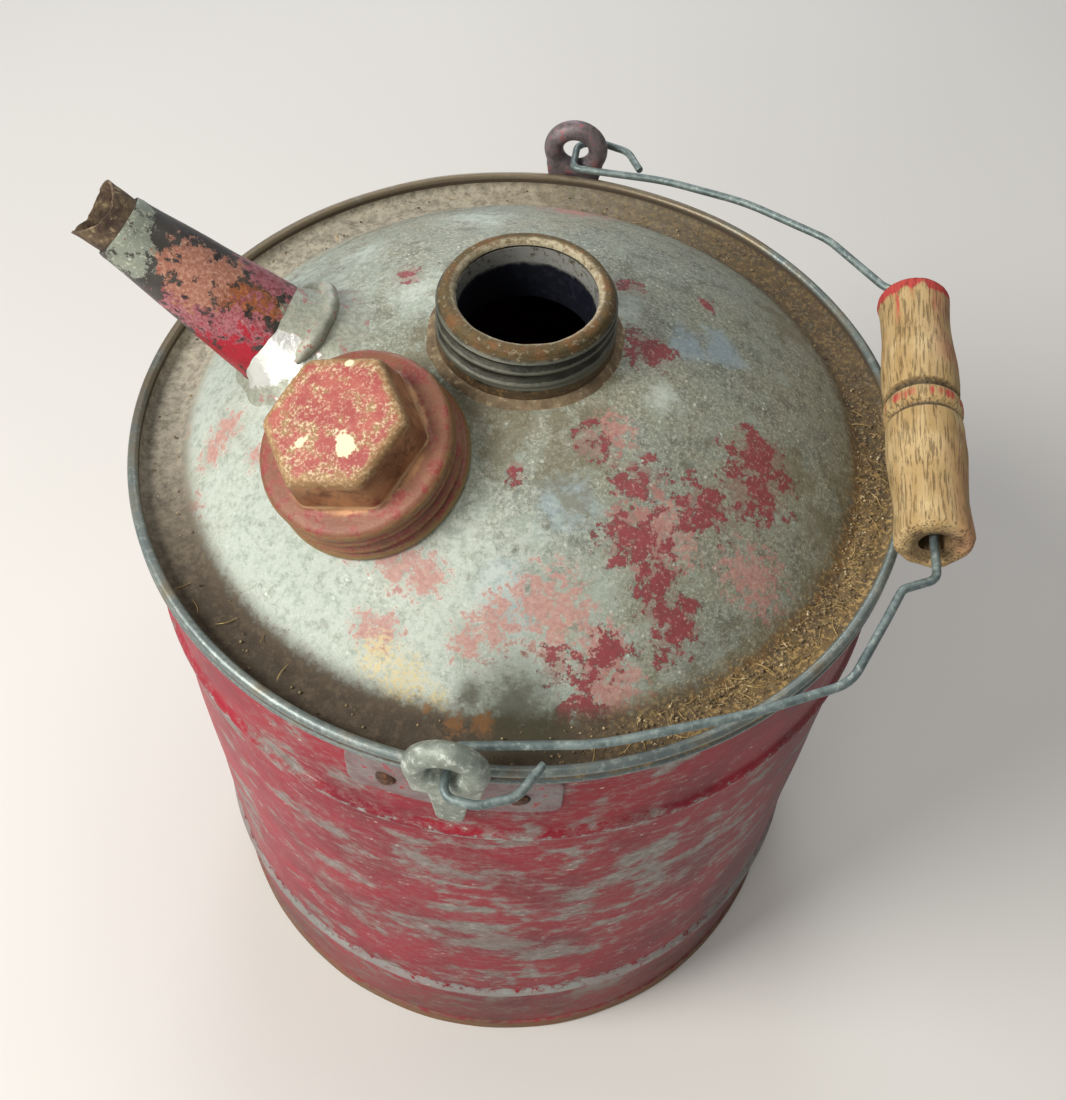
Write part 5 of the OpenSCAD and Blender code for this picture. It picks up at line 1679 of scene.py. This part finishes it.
CAMERA_LENS = 42.06
CAMERA_ANGLES = (5.815, 54.774, 3.485)  # azimuth, elevation and roll in degrees
CAMERA_TARGET = (13.06, -58.32, 293.57)
CAMERA_DISTANCE = 447.8
LAMPS = (
    # name, direction from the can, distance, width, watts, colour
    ("key", (-0.9, -0.55, 1.0), 1.5, 0.7, 24, "#fffcf6"),
    ("top", (0.2, 0.3, 1.3), 1.6, 0.9, 6, "#fff8ec"),
    ("front_fill", (-0.45, -1.3, 0.55), 1.9, 1.2, 9, "#fff8f0"),
    ("back_edge", (-0.3, 1.3, 0.6), 1.8, 0.8, 9, "#f4f8ff"),
)

class CAN_OT_stage(bpy.types.Operator):
    """Lays a plain pale floor, and sets soft studio light and the camera"""

    bl_idname = "can.stage"
    bl_label = "Stage"

    def execute(self, context):
        material, tree, where = begin("pale_studio_floor")
        soft = grain(tree, where, 400, 2)
        colour = layers(tree, rgba("#dcdad6"), (mask(tree, soft, 0.4), rgba("#d4d2ce")))
        end(tree, colour, 0.8)
        reach = 4000
        side = 9
        half = np.linspace(-reach, reach, side)
        x, y = np.meshgrid(half, half)
        mesh = bpy.data.meshes.new("floor")
        verts = np.stack([x.ravel(), y.ravel(), 0 * x.ravel()], -1) * MM
        starts = [r * side + c for r in range(side - 1) for c in range(side - 1)]
        quads = [(v, v + 1, v + side + 1, v + side) for v in starts]
        mesh.from_pydata(verts.tolist(), [], quads)
        mesh.materials.append(material)
        floor = bpy.data.objects.new("floor", mesh)
        context.scene.collection.objects.link(floor)

        world = bpy.data.worlds.new("studio")
        context.scene.world = world
        world.use_nodes = True
        world.node_tree.nodes["Background"].inputs["Color"].default_value = rgba("#e9edf2")
        world.node_tree.nodes["Background"].inputs["Strength"].default_value = 0.22
        centre = Vector((0, 0, RIM_TOP * 0.8)) * MM
        for name, heading, distance, width, watts, tint in LAMPS:
            light = bpy.data.lights.new(name, "AREA")
            light.shape = "DISK"
            light.size = width
            light.energy = watts
            light.color = srgb(tint)
            lamp = bpy.data.objects.new(name, light)
            context.scene.collection.objects.link(lamp)
            lamp.location = centre + Vector(heading).normalized() * distance
            lamp.rotation_euler = (centre - lamp.location).to_track_quat("-Z", "Y").to_euler()

        lens = bpy.data.cameras.new("camera")
        lens.lens = CAMERA_LENS
        lens.clip_start = 0.02
        camera = bpy.data.objects.new("camera", lens)
        context.scene.collection.objects.link(camera)
        azimuth, elevation, roll = (math.radians(a) for a in CAMERA_ANGLES)
        target = Vector(CAMERA_TARGET) * MM
        back = Vector((math.sin(azimuth) * math.cos(elevation), -math.cos(azimuth) * math.cos(elevation),
                       math.sin(elevation)))
        camera.location = target + back * CAMERA_DISTANCE * MM
        camera.rotation_mode = "QUATERNION"
        level = (-back).to_track_quat("-Z", "Y")
        camera.rotation_quaternion = level @ Matrix.Rotation(roll, 3, "Z").to_quaternion()
        context.scene.camera = camera
        context.scene.view_settings.view_transform = "Standard"
        return {"FINISHED"}


OPERATORS = (CAN_OT_body, CAN_OT_top, CAN_OT_neck, CAN_OT_spout, CAN_OT_ears, CAN_OT_rivets, CAN_OT_bail,
             CAN_OT_grip, CAN_OT_cap, CAN_OT_litter, CAN_OT_stage)


class CAN_PT_panel(bpy.types.Panel):
    """Lists the can's pieces, sizes and colours"""

    bl_label = "Fuel can"
    bl_idname = "CAN_PT_panel"
    bl_space_type = "VIEW_3D"
    bl_region_type = "UI"
    bl_category = "Fuel can"

    def draw(self, context):
        column = self.layout.column()
        for group in (context.scene.can_sizes, context.scene.can_colours):
            for name in group.bl_rna.properties.keys():
                if name not in ("rna_type", "name"):
                    column.prop(group, name)
        for operator in OPERATORS:
            column.operator(operator.bl_idname)


CLASSES = (CanSizes, CanColours, *OPERATORS, CAN_PT_panel)


def register():
    """Registers the classes and hangs the sizes and colours on the scene."""
    for cls in CLASSES:
        bpy.utils.register_class(cls)
    bpy.types.Scene.can_sizes = bpy.props.PointerProperty(type=CanSizes)
    bpy.types.Scene.can_colours = bpy.props.PointerProperty(type=CanColours)


def unregister():
    """Undoes register."""
    del bpy.types.Scene.can_colours
    del bpy.types.Scene.can_sizes
    for cls in reversed(CLASSES):
        bpy.utils.unregister_class(cls)


def main():
    """Builds the can piece by piece."""
    register()
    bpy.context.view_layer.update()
    for operator in OPERATORS:
        family, name = operator.bl_idname.split(".")
        getattr(getattr(bpy.ops, family), name)()


if __name__ == "__main__":
    main()
